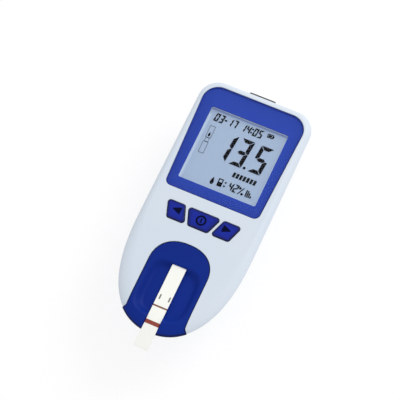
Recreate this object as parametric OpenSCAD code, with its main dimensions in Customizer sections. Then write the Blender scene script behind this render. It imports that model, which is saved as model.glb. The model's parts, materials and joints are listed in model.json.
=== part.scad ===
/* [Case] */
// Width across the line where the two shells meet
case_w = 58; // [55:1:62]
// Length from the nose to the display end, without strip and chip
case_len = 126; // [122:1:132]
// Height from the feet to the tops of the buttons
total_h = 32.5; // [31:0.5:35]
// Wall of the rear shell
wall = 2; // [1.6:0.2:2.4]
// Thickness of the front face
face_t = 2.2; // [1.8:0.2:2.6]
// Height of the rounded front edge, down to the joint line
edge_h = 3.6; // [3.2:0.2:4.2]
// How far the rounded front edge reaches in over the face
edge_in = 3; // [2:0.2:3.2]
// Radius of the two corners at the display end, seen from the front
corner_r = 10; // [8:0.5:12]
// How much each side draws in towards the display end
tail_narrowing = 0.3; // [0:0.1:0.6]
// Length of the curved nose, seen from the front
nose_len = 52.8; // [48:1:58]
// Slope of the rear shell's long sides, in degrees
side_slope = 13.5; // [12:0.5:15]
// Slope of the rear shell's display end, in degrees
tail_slope = 4; // [2:0.5:6]
// How far the underside is swept back below the nose
nose_sweep = 46.8; // [42:1:50]
// Radius of the edge round the underside
base_r = 3; // [2:0.5:4]

/* [Display] */
// Width of the visible part of the display
view_w = 39.2; // [36:0.2:41]
// Height of the visible part of the display
view_h = 38.5; // [36:0.5:39.5]
// Blue border between the display and the display end
border_top = 10.8; // [9:0.2:11.2]
// Blue border between the display and the buttons
border_bottom = 5.6; // [4.6:0.2:6.4]
// From the display end of the case to the blue border
border_inset = 3.3; // [3.2:0.1:3.8]
// Width of the blue border at its top, before its corners are rounded
border_w_top = 52; // [50:0.5:52]
// Width of the blue border at its bottom
border_w_bottom = 47.6; // [46:0.5:49]
// Radius of the blue border's two upper corners
border_r_top = 8; // [6:0.5:10]
// Radius of the blue border's two lower corners
border_r_bottom = 3; // [2:0.5:4]
// Thickness of the clear window
window_t = 0.9; // [0.7:0.1:1.2]
// Thickness of the blue border frame
border_t = 0.8; // [0.6:0.1:1]
// Thickness of the ledge that the border frame rests on
ledge_t = 1.4; // [1.2:0.1:1.8]
// Thickness of the display glass
glass_t = 2.8; // [2.2:0.1:3]
// Margin of the display glass round its visible part
glass_margin = 2.4; // [2:0.1:2.6]
// Height of the rubber connector strips under the glass
connector_h = 4.2; // [3.8:0.1:4.6]

/* [Buttons] */
// From the blue border to the buttons
button_gap = 6.3; // [5.5:0.1:7]
// Height of a button, along the case
button_h = 8.7; // [7.8:0.1:9.4]
// Width of the middle button at its top
power_w_top = 15.4; // [14:0.2:16]
// Width of the middle button at its bottom
power_w_bottom = 11; // [10:0.2:12]
// Case between two buttons
button_web = 1.8; // [1.7:0.1:2.2]
// Width of an outer button at its top
side_button_w = 8.8; // [8:0.2:9.4]
// Width of an outer button at its bottom
side_button_w_bottom = 8.2; // [7.6:0.2:9]
// Radius of the button corners
button_r = 1.3; // [0.8:0.1:1.8]
// How far a button stands above the face
button_proud = 0.6; // [0.4:0.1:1]
// How far a button travels
button_travel = 0.6; // [0.4:0.1:0.8]
// Gap round a button in its hole
button_clear = 0.25; // [0.2:0.05:0.35]
// Thickness of the flange that keeps a button in
flange_t = 1; // [0.8:0.1:1.2]
// How far the flange reaches under the face
flange_out = 0.6; // [0.4:0.05:0.65]

/* [Strip tray] */
// From the buttons to the tray's arch
tray_gap = 8; // [7:0.2:9]
// Width of the tray
tray_w = 30; // [28:0.5:31]
// Length of the tray's arch
arch_len = 11.4; // [10:0.2:13]
// From the top of the arch to the open strip channel
bridge_len = 11.4; // [10:0.2:12]
// Height of the tray, from its underside to its rim
tray_h = 4.8; // [4.4:0.1:5.2]
// How far the tray's rim lies below the face
tray_sink = 0.3; // [0.1:0.1:0.5]
// From the nose back to where the tray flares out
flare_up = 7.6; // [7:0.1:8.4]
// How far the flare reaches past the tray on each side
flare_out = 2; // [1.4:0.1:2.4]
// Gap between the tray and the case
tray_clear = 0.3; // [0.25:0.05:0.4]
// Radius of the dish's outline in the tray
dish_r = 14; // [12:0.5:14.5]
// Depth of the dish
dish_depth = 1.5; // [1:0.1:1.8]
// Thickness of the floor under the tray
pocket_t = 1.5; // [1.2:0.1:1.8]

/* [Test strip] */
// Width of the test strip
strip_w = 7; // [6:0.1:7.4]
// Thickness of the test strip
strip_t = 0.5; // [0.4:0.05:0.6]
// How far the strip stands out past the nose
strip_out = 8.7; // [6:0.1:12]
// From the top of the arch to the strip's inner end
strip_inset = 2.6; // [2:0.1:4]
// Depth of the strip's underside below the tray's rim
strip_depth = 1.7; // [1.5:0.1:2]
// Gap beside the strip in its channel
strip_side_clear = 0.25; // [0.2:0.05:0.3]
// Gap under and over the strip
strip_flat_clear = 0.05; // [0.04:0.01:0.08]
// Side of the square reagent pad under the strip
pad_side = 4; // [3.5:0.1:4.4]
// Thickness of the reagent pad
pad_t = 0.4; // [0.3:0.05:0.5]

/* [Batteries] */
// Diameter of a battery
battery_d = 10.5; // [10:0.1:10.5]
// Length of a battery with its positive button
battery_len = 44.5; // [43.5:0.1:44.5]
// Gap between batteries, and between them and the bay
battery_clear = 0.35; // [0.3:0.05:0.45]
// Length of a compressed contact spring
spring_len = 4; // [3.5:0.1:4.5]
// Wire of the contact springs
spring_wire = 0.6; // [0.5:0.05:0.7]
// Thickness of the contact plates
contact_t = 0.5; // [0.4:0.05:0.6]
// From the display end of the case to the battery bay
bay_inset = 12; // [11.8:0.1:13]
// Wall of the battery bay
bay_wall = 1.8; // [1.6:0.1:2]
// Thickness of the battery cover
cover_t = 1.6; // [1.4:0.1:1.8]
// Gap round the battery cover
cover_clear = 0.3; // [0.25:0.05:0.4]
// Width of each tongue that hooks the cover in
tongue_w = 6; // [5:0.2:7]
// Thickness of those tongues
tongue_t = 1; // [0.8:0.1:1.2]

/* [Board] */
// Thickness of the circuit board
board_t = 1.6; // [1.2:0.1:1.6]
// Width of the circuit board
board_w = 47; // [46:0.2:48]
// Gap between the board and the display end of the case
board_inset = 4.4; // [4.2:0.1:4.8]
// How far the board reaches past the buttons towards the nose
board_past_buttons = 1.4; // [1:0.1:1.6]

/* [Fasteners and feet] */
// Diameter of the case screws
screw_d = 2.2; // [2:0.1:2.4]
// Diameter of a case screw's head
head_d = 4; // [3.8:0.1:4.2]
// Height of a screw head
head_h = 1.6; // [1.4:0.1:1.8]
// Length of a case screw below its head
screw_len = 9; // [8:0.5:10]
// Diameter of the board screws
board_screw_d = 1.8; // [1.6:0.1:2]
// Length of a board screw below its head
board_screw_len = 6; // [5:0.5:7]
// Diameter of a rubber foot
foot_d = 5.6; // [5:0.2:5.8]
// How far a foot stands out of the underside
foot_out = 0.6; // [0.4:0.1:0.8]
// How deep a foot sits in its recess
foot_in = 0.9; // [0.7:0.1:1]

/* [Code chip] */
// Width of the chip's handle
chip_w = 13; // [11:0.2:13.6]
// Thickness of the chip's handle
chip_t = 3; // [2.6:0.1:3.2]
// How far the chip stands out past the display end
chip_out = 1.8; // [1.4:0.1:2.4]
// Gap between the chip and its slot
chip_clear = 0.3; // [0.25:0.05:0.35]

/* [Hidden] */
$fn = 48;

case_colour = [0.84, 0.87, 0.93];
blue = [0.18, 0.28, 0.70];
deep_blue = [0.09, 0.16, 0.55];
board_green = [0.05, 0.32, 0.18];
black = [0.06, 0.06, 0.07];
metal = [0.78, 0.78, 0.76];

// Exponents of the nose: across the case and along it, where 2 would be an ellipse
nose_across = 2.2;
nose_along = 2.6;
// How fast the underside sweeps back below the nose
sweep_power = 1.6;
// Exponent of the tray's arch
arch_power = 2.35;
nose_step = 6;
corner_step = 15;
edge_step = 18;
arch_step = 7.5;

// Places along the case: the box round the object, strip and chip included, is centred on the origin
box_len = chip_out + case_len + strip_out;
tail_y = box_len / 2 - chip_out;
nose_y = tail_y - case_len;
border_top_y = tail_y - border_inset;
view_y = border_top_y - border_top - view_h / 2;
border_bottom_y = view_y - view_h / 2 - border_bottom;
button_top_y = border_bottom_y - button_gap;
button_bottom_y = button_top_y - button_h;
button_y = (button_top_y + button_bottom_y) / 2;
arch_y = button_bottom_y - tray_gap;
channel_y = arch_y - bridge_len;
bay_tail_y = tail_y - bay_inset;
bay_len = battery_len + spring_len + 2 * contact_t;
bay_nose_y = bay_tail_y - bay_len;
bay_y = (bay_tail_y + bay_nose_y) / 2;

// Heights
face_z = total_h - button_proud;
joint_z = face_z - edge_h;
base_z = foot_out;
plate_z = face_z - face_t;
window_z = face_z - window_t;
ledge_z = window_z - border_t;
ledge_under_z = ledge_z - ledge_t;
glass_clear = 0.1;
glass_z = ledge_under_z - glass_clear - glass_t;
board_top_z = glass_z - connector_h;
board_z = board_top_z - board_t;
tray_top_z = face_z - tray_sink;
tray_z = tray_top_z - tray_h;
pocket_z = tray_z - tray_clear;
pocket_under_z = pocket_z - pocket_t;
channel_z = tray_top_z - strip_depth;
strip_z = channel_z + strip_flat_clear;
cover_in_z = base_z + cover_t;
recess_z = cover_in_z + cover_clear;
battery_z = cover_in_z + battery_clear + battery_d / 2;
bay_roof_z = battery_z + battery_d / 2 + battery_clear;
bay_roof_t = 1.4;
bay_top_z = bay_roof_z + bay_roof_t;

// Places across the case
battery_pitch = battery_d + battery_clear;
bay_w = 3 * battery_d + 4 * battery_clear;

function mix(a, b, t) = a + (b - a) * t;

// Outline of the case seen from the front: a superellipse nose, nearly straight sides, and a straight end
// with round corners
function plan(half_w, nose, mid, tail, r) =
    let (right = concat(
        [for (a = [0 : nose_step : 90])
            [half_w * pow(sin(a), 2 / nose_across), mid - (mid - nose) * pow(cos(a), 2 / nose_along)]],
        [for (a = [0 : corner_step : 90])
            [half_w - tail_narrowing - r + r * cos(a), tail - r + r * sin(a)]]))
    concat(right, [for (i = [len(right) - 1 : -1 : 1]) [-right[i][0], right[i][1]]]);

// Outline at a height of the rear shell: the sides slope in, and the nose sweeps back like a boat's bow
mid_top_y = nose_y + nose_len;
nose_draw = 18;
mid_base_y = mid_top_y + nose_draw;
function case_plan(z, inset = 0) =
    let (drop = max(0, joint_z - z), low = drop / (joint_z - base_z))
    plan(case_w / 2 - drop * tan(side_slope) - inset,
        nose_y + nose_sweep * pow(low, sweep_power) + inset,
        mix(mid_top_y, mid_base_y, low),
        tail_y - drop * tan(tail_slope) - inset,
        max(1, corner_r - inset));

function lifted(points, z) = [for (p = points) [p[0], p[1], z]];

// Inset of the rounded edge round the underside, at a height above the underside
function base_inset(h) = h >= base_r ? 0 : base_r - sqrt(base_r * base_r - pow(base_r - h, 2));

// A convex outline moved outwards by d
function grown(points, d) =
    let (n = len(points))
    [for (i = [0 : n - 1])
        let (a = points[(i + n - 1) % n], b = points[i], c = points[(i + 1) % n],
            u = (b - a) / norm(b - a), v = (c - b) / norm(c - b),
            nu = [u[1], -u[0]], nv = [v[1], -v[0]])
        b + (nu + nv) * d / (1 + nu * nv)];

// A convex outline with each corner rounded by its own radius
function rounded(points, radii, steps = 8) =
    let (n = len(points))
    [for (i = [0 : n - 1])
        let (a = points[(i + n - 1) % n], b = points[i], c = points[(i + 1) % n],
            u = (a - b) / norm(a - b), v = (c - b) / norm(c - b),
            half = acos(u * v) / 2, way = (u + v) / norm(u + v),
            centre = b + way * radii[i] / sin(half),
            start = atan2(-way[1], -way[0]) - (90 - half))
        for (k = [0 : steps])
            let (angle = start + (180 - 2 * half) * k / steps)
            centre + radii[i] * [cos(angle), sin(angle)]];

// A solid through a stack of outlines with the same number of points
module loft(rings) {
    n = len(rings[0]);
    m = len(rings);
    points = [for (ring = rings) each ring];
    walls = [for (k = [0 : m - 2], i = [0 : n - 1])
        let (a = k * n + i, b = k * n + (i + 1) % n)
        each [[a, a + n, b + n], [a, b + n, b]]];
    floor_face = [for (i = [0 : n - 1]) i];
    roof_face = [for (i = [0 : n - 1]) m * n - 1 - i];
    polyhedron(points = points, faces = concat([floor_face, roof_face], walls));
}

module slab(points, z0, z1) {
    translate([0, 0, z0]) linear_extrude(z1 - z0) polygon(points);
}

module block(centre, size, z0, z1) {
    translate([centre[0] - size[0] / 2, centre[1] - size[1] / 2, z0]) cube([size[0], size[1], z1 - z0]);
}

module post(place, d, z0, z1) {
    translate([place[0], place[1], z0]) cylinder(d = d, h = z1 - z0);
}

// Front shell before it is hollowed, from the joint line to the face
module front_solid() {
    loft([for (a = [0 : edge_step : 90])
        lifted(case_plan(joint_z, edge_in * (1 - cos(a))), joint_z + edge_h * sin(a))]);
}

rear_heights = [0, 0.25, 0.9, 1.9, 3, 6, 10, 14, 18, 21.5, 24.5, 26.3];
function rear_rings(inset) =
    concat([for (h = rear_heights)
        let (z = base_z + h) lifted(case_plan(z, inset + base_inset(h)), z + inset)],
        [lifted(case_plan(joint_z, inset), joint_z + inset)]);

module rear_solid() {
    loft(rear_rings(0));
}

// Outlines seen from the front, each anticlockwise
border_points = [[-border_w_bottom / 2, border_bottom_y], [border_w_bottom / 2, border_bottom_y],
    [border_w_top / 2, border_top_y], [-border_w_top / 2, border_top_y]];
border_radii = [border_r_bottom, border_r_bottom, border_r_top, border_r_top];
power_points = [[-power_w_bottom / 2, button_bottom_y], [power_w_bottom / 2, button_bottom_y],
    [power_w_top / 2, button_top_y], [-power_w_top / 2, button_top_y]];
side_top_x = power_w_top / 2 + button_web;
side_bottom_x = power_w_bottom / 2 + button_web;
right_points = [[side_bottom_x, button_bottom_y], [side_bottom_x + side_button_w_bottom, button_bottom_y],
    [side_top_x + side_button_w, button_top_y], [side_top_x, button_top_y]];
left_points = [for (i = [3 : -1 : 0]) [-right_points[i][0], right_points[i][1]]];
side_button_x = (side_top_x + side_button_w / 2 + side_bottom_x + side_button_w_bottom / 2) / 2;

function evenly_rounded(points, r) = rounded(points, [for (p = points) r]);

function arch(half_w, top_y, len, bottom_y) = concat(
    [[-half_w, bottom_y], [half_w, bottom_y]],
    [for (a = [0 : arch_step : 180])
        [half_w * sign(cos(a)) * pow(abs(cos(a)), 2 / arch_power),
            top_y - len + len * pow(sin(a), 2 / arch_power)]]);

past_nose = 6;
flare_drop = 1.2;

// Tray seen from the front: straight sides under an arch, flared out at the nose, all grown by d
module tray_plan(d = 0) {
    half_w = tray_w / 2 + d;
    tip_x = half_w + flare_out;
    flare_y = nose_y + flare_up + d;
    polygon(arch(half_w, arch_y + d, arch_len + d, nose_y - past_nose));
    polygon([[-tip_x, nose_y - past_nose], [tip_x, nose_y - past_nose], [tip_x, flare_y - flare_drop],
        [half_w, flare_y], [-half_w, flare_y], [-tip_x, flare_y - flare_drop]]);
}

// Fasteners: two case screws at the display end and two beside the tray's arch; four board screws
boss_d = 6;
post_d = 8;
boss_end_z = board_z - 0.4;
seat_gap = 0.1;
seat_top_z = boss_end_z - seat_gap;
thread_clear = 0.1;
shank_clear = 0.3;
seat_t = 2.4;
well_clear = 0.4;
seat_z = seat_top_z - seat_t;
well_d = head_d + 2 * well_clear;
boss_clear = 0.4;
screw_spare = 0.5;
tail_screw_x = 13.5;
tail_screw_y = tail_y - 7.1;
nose_screw_x = 17.5;
nose_screw_y = arch_y + 2.9;
case_screw_places = [for (side = [-1, 1])
    each [[side * tail_screw_x, tail_screw_y], [side * nose_screw_x, nose_screw_y]]];
board_boss_d = 5;
board_tail_screw = [19.5, tail_y - 7.7];
board_nose_screw = [20.5, border_bottom_y - 1.6];
board_screw_places = [for (side = [-1, 1], p = [board_tail_screw, board_nose_screw]) [side * p[0], p[1]]];
tail_foot_x = 6.8;
nose_foot = [10.5, bay_nose_y - 7.8];
foot_places = [for (side = [-1, 1])
    each [[side * tail_foot_x, tail_screw_y], [side * nose_foot[0], nose_foot[1]]]];
foot_clear = 0.05;

// Optics under the strip
pad_inset = 5.7;
pad_y = arch_y - pad_inset;
lens_d = 8;
lens_t = 1;
lens_rim = 1;
light_hole_d = 5;
optics_w = 18;
optics_len = 13;
optics_h = 7;
optics_z = pocket_under_z - optics_h;
sensor_board_t = 1.4;
sensor_board_w = 19;
sensor_board_len = 15;
sensor_board_z = optics_z - sensor_board_t;
beam_d = 2;
led_angle = 35;
led_d = 3;
led_len = 4;
led_off = 4.2;
led_hole_off = 4;
led_hole_len = 9;
beam_len = 8;
diode_d = 4;
diode_h = 2;
fit = 0.1;

// Chip and its socket
chip_lift = 2.2;
chip_z = board_top_z + chip_lift;
chip_in = 3.1;
chip_y0 = tail_y - chip_in;
chip_shoulder = 1;
chip_step = 0.3;
chip_tongue_w = chip_w - 2 * chip_shoulder;
chip_tongue_t = chip_t - 2 * chip_step;
chip_tongue_len = 5.5;
socket_w = 15;
socket_inset = 3.4;
socket_len = 6.5;
socket_y1 = tail_y - socket_inset;
socket_y0 = socket_y1 - socket_len;
socket_h = 4.4;
slot_len = 6;

key_w = 6;
key_h = 3.5;
key_floor = 0.4;
plunger_d = 3.4;
stem_d = 4.2;
plunger_out = 1.2;
plunger_in = 2.1;
plunger_clear = 0.05;
stem_z = board_top_z + key_h + plunger_out;
flange_gap = 0.15;
flange_top_z = plate_z - flange_gap;
flange_z = flange_top_z - flange_t;

module pilot_holes() {
    for (p = case_screw_places)
        post(p, screw_d + thread_clear, boss_end_z - 1, seat_z + screw_len + screw_spare);
    for (p = board_screw_places)
        post(p, board_screw_d + thread_clear, board_z - 1, board_z + board_screw_len + screw_spare);
}

module lens_seat() {
    post([0, pad_y], lens_d + fit, pocket_z - lens_t, pocket_z + 1);
    post([0, pad_y], lens_d - 2 * lens_rim, pocket_under_z - 1, pocket_z);
}

// Floor and walls of the pocket that the tray slides in
module pocket() {
    translate([0, 0, pocket_under_z]) linear_extrude(plate_z + 0.1 - pocket_under_z) intersection() {
        tray_plan(tray_clear + pocket_t);
        polygon(case_plan(pocket_under_z - wall, wall + tray_clear));
    }
}

module tray_void() {
    translate([0, 0, pocket_z]) linear_extrude(tray_h + 2) tray_plan(tray_clear);
}

locating_tab_len = 8;
locating_tab_t = 1;
locating_tab_in = 1.5;
locating_tab_up = 10;
locating_tab_down = 14;
locating_tab_y = [view_y + locating_tab_up, view_y - locating_tab_down];
module locating_tabs() {
    x = case_w / 2 - wall - tray_clear - (locating_tab_in + wall) * tan(side_slope) - locating_tab_t / 2;
    for (side = [-1, 1], y = locating_tab_y)
        block([side * x, y], [locating_tab_t, locating_tab_len], joint_z - locating_tab_in, plate_z + 0.1);
}

ledge_rim = 1.2;
window_gap = 0.8;
shell_gap = 0.2;
module top_case() {
    color(case_colour) difference() {
        union() {
            difference() {
                front_solid();
                slab(case_plan(joint_z, wall + shell_gap), joint_z - 1, plate_z);
            }
            slab(rounded(grown(border_points, ledge_rim), [for (r = border_radii) r + ledge_rim]),
                ledge_under_z, plate_z + 0.1);
            pocket();
            locating_tabs();
            for (p = case_screw_places) post(p, boss_d, boss_end_z, plate_z + 0.1);
            for (p = board_screw_places) post(p, board_boss_d, board_top_z, plate_z + 0.1);
        }
        slab(rounded(border_points, border_radii), ledge_z, face_z + 1);
        block([0, view_y], [view_w + 2 * window_gap, view_h + 2 * window_gap], ledge_under_z - 1, face_z);
        for (points = [left_points, power_points, right_points])
            slab(evenly_rounded(points, button_r), plate_z - 2, face_z + 1);
        tray_void();
        lens_seat();
        pilot_holes();
    }
}

// Battery bay, cover and hooks
cover_lap = 1.2;
recess_w = bay_w + 2 * cover_lap;
recess_len = bay_len + 2 * cover_lap;
recess_nose_y = bay_y - recess_len / 2;
floor_z = base_z + wall;
tongue_z = floor_z + cover_clear;
tongue_x = 10;
tongue_reach = 1.6;
tongue_play = 1;
latch_play = 1.2;
latch_room = 0.7;
latch_w = 8;
latch_t = 0.8;
latch_h = 2.6;
grip_r = 6;
grip_depth = 1;
grip_past = 2;
grip_y = bay_tail_y + cover_lap + grip_past;

module thumb_grip() {
    translate([0, grip_y, base_z + grip_depth - grip_r]) sphere(r = grip_r);
}

module bottom_case() {
    color(case_colour) difference() {
        union() {
            difference() {
                rear_solid();
                loft(rear_rings(wall));
            }
            intersection() {
                rear_solid();
                union() {
                    block([0, bay_y], [bay_w + 2 * bay_wall, bay_len + 2 * bay_wall], base_z + wall / 2,
                        bay_top_z);
                    for (p = case_screw_places) post(p, post_d, base_z + wall - 0.1, seat_top_z);
                }
            }
        }
        block([0, bay_y], [bay_w, bay_len], -1, bay_roof_z);
        block([0, bay_y], [recess_w, recess_len], -1, recess_z);
        for (side = [-1, 1]) {
            block([side * tongue_x, bay_nose_y - bay_wall / 2], [tongue_w + 2 * cover_clear, bay_wall + 1],
                floor_z, tongue_z + tongue_t + tongue_play);
            block([side * tongue_x, bay_nose_y], [tongue_w + 2 * cover_clear, 2 * cover_lap], recess_z - 0.1,
                floor_z + 0.1);
        }
        block([0, bay_tail_y + bay_wall / 2], [latch_w + latch_play, bay_wall + 1], recess_z - 0.1,
            cover_in_z + latch_h + latch_room);
        thumb_grip();
        for (p = case_screw_places) {
            post(p, well_d, -1, seat_z);
            post(p, screw_d + shank_clear, seat_z - 1, seat_top_z + 1);
        }
        for (p = foot_places) post(p, foot_d + 2 * foot_clear, -1, base_z + foot_in);
        for (p = lead_places)
            block(p, [lead_w + lead_play, contact_t + lead_play], bay_roof_z - 0.1, bay_top_z + 0.1);
        tray_void();
        translate([-chip_w / 2 - chip_clear, tail_y - slot_len, chip_z - chip_t / 2 - chip_clear])
            cube([chip_w + 2 * chip_clear, 2 * slot_len, chip_t + 2 * chip_clear]);
    }
}

edge_gap = 0.1;
// The blue border's outline, set in by the gap round it
module window_slab(z0, z1) {
    slab(rounded(grown(border_points, -edge_gap), [for (r = border_radii) r - edge_gap]), z0, z1);
}

module display_window() {
    color([0.8, 0.88, 1, 0.35])
        window_slab(window_z, face_z);
}

module display_border() {
    color(blue) difference() {
        window_slab(ledge_z, window_z);
        block([0, view_y], [view_w, view_h], ledge_z - 1, window_z + 1);
    }
}

glass_w = view_w + 2 * glass_margin;
glass_h = view_h + 2 * glass_margin;
reflector_t = 0.3;
reflector_rim = 0.5;
frame_wall = 1;
frame_floor = 1.2;
frame_rim = 0.5;
frame_drop = 0.3;
frame_fit = 0.05;
connector_w = 1.8;
connector_inset = 1.2;
connector_past = 0.5;
connector_clear = 0.2;
connector_off = glass_h / 2 - connector_inset;

module display_glass() {
    color([0.62, 0.68, 0.76]) block([0, view_y], [glass_w, glass_h], glass_z, glass_z + glass_t);
}

module display_reflector() {
    size = [glass_w - 2 * reflector_rim, 2 * (connector_off - reflector_rim) - connector_w];
    color("silver") block([0, view_y], size, glass_z - reflector_t, glass_z);
}

module display_frame() {
    inner = [glass_w + 2 * frame_fit, glass_h + 2 * frame_fit];
    under = [glass_w - 2 * frame_rim, glass_h - 2 * frame_rim];
    slot = [view_w + 2 * (connector_past + connector_clear), connector_w + 2 * connector_clear];
    color("white") difference() {
        block([0, view_y], [inner[0] + 2 * frame_wall, inner[1] + 2 * frame_wall], board_top_z,
            glass_z + glass_t - frame_drop);
        block([0, view_y], inner, glass_z - reflector_t, glass_z + glass_t);
        block([0, view_y], under, board_top_z - 1, glass_z - reflector_t - frame_floor);
        for (side = [-1, 1]) block([0, view_y + side * connector_off], slot, board_top_z - 1, glass_z);
    }
}

module connector_strips() {
    color("dimgray") for (side = [-1, 1])
        block([0, view_y + side * connector_off], [view_w + 2 * connector_past, connector_w], board_top_z,
            glass_z);
}

board_tail_y = tail_y - board_inset;
board_nose_y = button_bottom_y - board_past_buttons;
board_r = 3;
board_corner_step = 2;
board_tail_r = corner_r - board_corner_step;
hole_clear = 0.1;
module main_board() {
    half = board_w / 2;
    corners = [[-half, board_nose_y], [half, board_nose_y], [half, board_tail_y], [-half, board_tail_y]];
    outline = rounded(corners, [board_r, board_r, board_tail_r, board_tail_r]);
    color(board_green) difference() {
        slab(outline, board_z, board_top_z);
        for (p = board_screw_places)
            post(p, board_screw_d + 2 * hole_clear, board_z - 1, board_top_z + 1);
        for (p = case_screw_places) post(p, boss_d + 2 * boss_clear, board_z - 1, board_top_z + 1);
    }
}

// Pieces under the board: the tall ones stand beside the battery bay and not over it
lead_reach = 0.9;
lead_wide = 0.4;
lead_in = 0.05;
chip_stand = 0.1;
big_chip = [10, 10, 1.5];
big_chip_off = [-8, 4];
big_chip_at = [0, view_y] + big_chip_off;
small_chip = [4, 5, 1.4];
amplifier_off = [5.5, 6.8];
amplifier_at = [0, board_nose_y] + amplifier_off;
memory_off = [10, 8];
memory_at = [0, view_y] + memory_off;
crystal_d = 3.6;
crystal_len = 6.4;
crystal_h = 1.4;
crystal_off = [-8, -8];
crystal_at = [0, view_y] + crystal_off;
resistor = [1, 1.8, 0.6];
resistor_pitch = [2.4, 3];
resistors_off = [3, -6];
resistors_at = [0, view_y] + resistors_off;
capacitor_d = 4;
capacitor_h = 4;
capacitor_wall_gap = 1.4;
capacitor_x = -(case_w / 2 - (joint_z - board_z + capacitor_h) * tan(side_slope) - wall - capacitor_wall_gap
    - capacitor_d / 2);
capacitor_pitch = 6;
capacitor_down = 12;
capacitor_y = view_y - capacitor_down;
buzzer_d = 9;
buzzer_h = 3.2;
buzzer_hole_d = 1.6;
buzzer_hole_h = 1.2;
buzzer_x = 14.5;
buzzer_gap = 1.2;
buzzer_at = [buzzer_x, bay_nose_y - bay_wall - buzzer_gap - buzzer_d / 2];

// A chip under the board, with leads along two sides
module chip_package(centre, size, leads) {
    color(black) block(centre, size, board_z - size[2], board_z - chip_stand);
    color(metal) for (side = [-1, 1], i = [0 : leads - 1])
        block([centre[0] + side * (size[0] / 2 + lead_reach / 2 - lead_in),
            centre[1] + (i - (leads - 1) / 2) * size[1] / leads],
            [lead_reach, lead_wide], board_z - size[2] / 2, board_z);
}

module microcontroller() {
    chip_package(big_chip_at, big_chip, 10);
}

module amplifier_chip() {
    chip_package(amplifier_at, small_chip, 4);
}

module memory_chip() {
    chip_package(memory_at, small_chip, 4);
}

module crystal() {
    color(metal) hull() for (side = [-1, 1])
        post(crystal_at + [side * crystal_len / 2, 0], crystal_d, board_z - crystal_h, board_z);
}

module board_resistors() {
    color(black) for (column = [0 : 3], row = [0 : 1])
        block(resistors_at + [resistor_pitch[0] * column, -resistor_pitch[1] * row], resistor,
            board_z - resistor[2], board_z);
}

module board_capacitors() {
    color("tan") for (i = [0 : 2])
        post([capacitor_x, capacitor_y + capacitor_pitch * i], capacitor_d, board_z - capacitor_h, board_z);
}

module buzzer() {
    color(black) difference() {
        post(buzzer_at, buzzer_d, board_z - buzzer_h, board_z);
        post(buzzer_at, buzzer_hole_d, board_z - buzzer_h - 0.1, board_z - buzzer_h + buzzer_hole_h);
    }
}

button_bevel = 0.45;
module button(points) {
    hull() {
        slab(evenly_rounded(grown(points, -button_clear), button_r - button_clear), flange_z + flange_t / 2,
            face_z + button_proud - button_bevel);
        slab(evenly_rounded(grown(points, -button_clear - button_bevel), button_r - button_clear),
            face_z + button_proud - 0.05, face_z + button_proud);
    }
    slab(evenly_rounded(grown(points, flange_out), button_r + flange_out), flange_z, flange_top_z);
}

module stem(x) {
    post([x, button_y], stem_d, stem_z, flange_z + 0.1);
}

module left_button() {
    color(blue) union() {
        button(left_points);
        stem(-side_button_x);
    }
}

module power_button() {
    color(blue) union() {
        button(power_points);
        stem(0);
    }
}

module right_button() {
    color(blue) union() {
        button(right_points);
        stem(side_button_x);
    }
}

module plunger(x) {
    color(black) post([x, button_y], plunger_d, board_top_z + key_h - plunger_in, stem_z);
}

module left_plunger() {
    plunger(-side_button_x);
}

module power_plunger() {
    plunger(0);
}

module right_plunger() {
    plunger(side_button_x);
}

module key_switches() {
    color("dimgray") for (x = [-side_button_x, 0, side_button_x]) difference() {
        block([x, button_y], [key_w, key_w], board_top_z, board_top_z + key_h);
        post([x, button_y], plunger_d + 2 * plunger_clear, board_top_z + key_floor, board_top_z + key_h + 1);
    }
}

channel_w = strip_w + 2 * strip_side_clear;
dish_ball_r = (dish_r * dish_r + dish_depth * dish_depth) / (2 * dish_depth);
dish_past = 1.3;
dish_y = channel_y + dish_past - dish_r;
strip_inner_y = arch_y - strip_inset;
strip_end_y = nose_y - strip_out;

module strip_tray() {
    color(deep_blue) difference() {
        union() {
            intersection() {
                translate([0, 0, tray_z]) linear_extrude(tray_h) tray_plan();
                front_solid();
            }
            translate([0, 0, tray_z]) linear_extrude(joint_z - tray_z) intersection() {
                tray_plan();
                polygon(case_plan(tray_z));
            }
        }
        translate([-channel_w / 2, nose_y - past_nose, channel_z])
            cube([channel_w, channel_y - nose_y + past_nose, tray_h]);
        translate([-channel_w / 2, nose_y - past_nose, channel_z])
            cube([channel_w, strip_inner_y + tray_clear - nose_y + past_nose, strip_t + 2 * strip_flat_clear]);
        post([0, pad_y], light_hole_d, tray_z - 1, channel_z + 0.1);
        translate([0, dish_y, tray_top_z - dish_depth + dish_ball_r]) sphere(r = dish_ball_r, $fn = 96);
    }
}

module test_strip() {
    color("ivory") difference() {
        translate([-strip_w / 2, strip_end_y, strip_z]) cube([strip_w, strip_inner_y - strip_end_y, strip_t]);
        block([0, pad_y], [pad_side, pad_side], strip_z - 1, strip_z + pad_t);
    }
}

module reagent_pad() {
    color("mistyrose") block([0, pad_y], [pad_side, pad_side], strip_z, strip_z + pad_t);
}

// A frame whose Z axis runs from the measuring spot down one lamp's beam
module beam(side) {
    translate([0, pad_y, pocket_z]) rotate([0, side * (180 - led_angle), 0]) children();
}

module optics_block() {
    color(black) difference() {
        block([0, pad_y], [optics_w, optics_len], optics_z, pocket_under_z);
        for (side = [-1, 1]) beam(side) {
            cylinder(d = beam_d, h = beam_len);
            translate([0, 0, led_hole_off]) cylinder(d = led_d + fit, h = led_hole_len);
        }
        post([0, pad_y], beam_d, optics_z - 1, pocket_z);
        post([0, pad_y], diode_d + fit, optics_z - 1, optics_z + diode_h + fit);
    }
}

module optics_window() {
    color([0.8, 0.9, 1, 0.4]) post([0, pad_y], lens_d, pocket_z - lens_t, pocket_z);
}

module measuring_leds() {
    color("orange") for (side = [-1, 1])
        beam(side) translate([0, 0, led_off]) cylinder(d = led_d, h = led_len);
}

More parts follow.
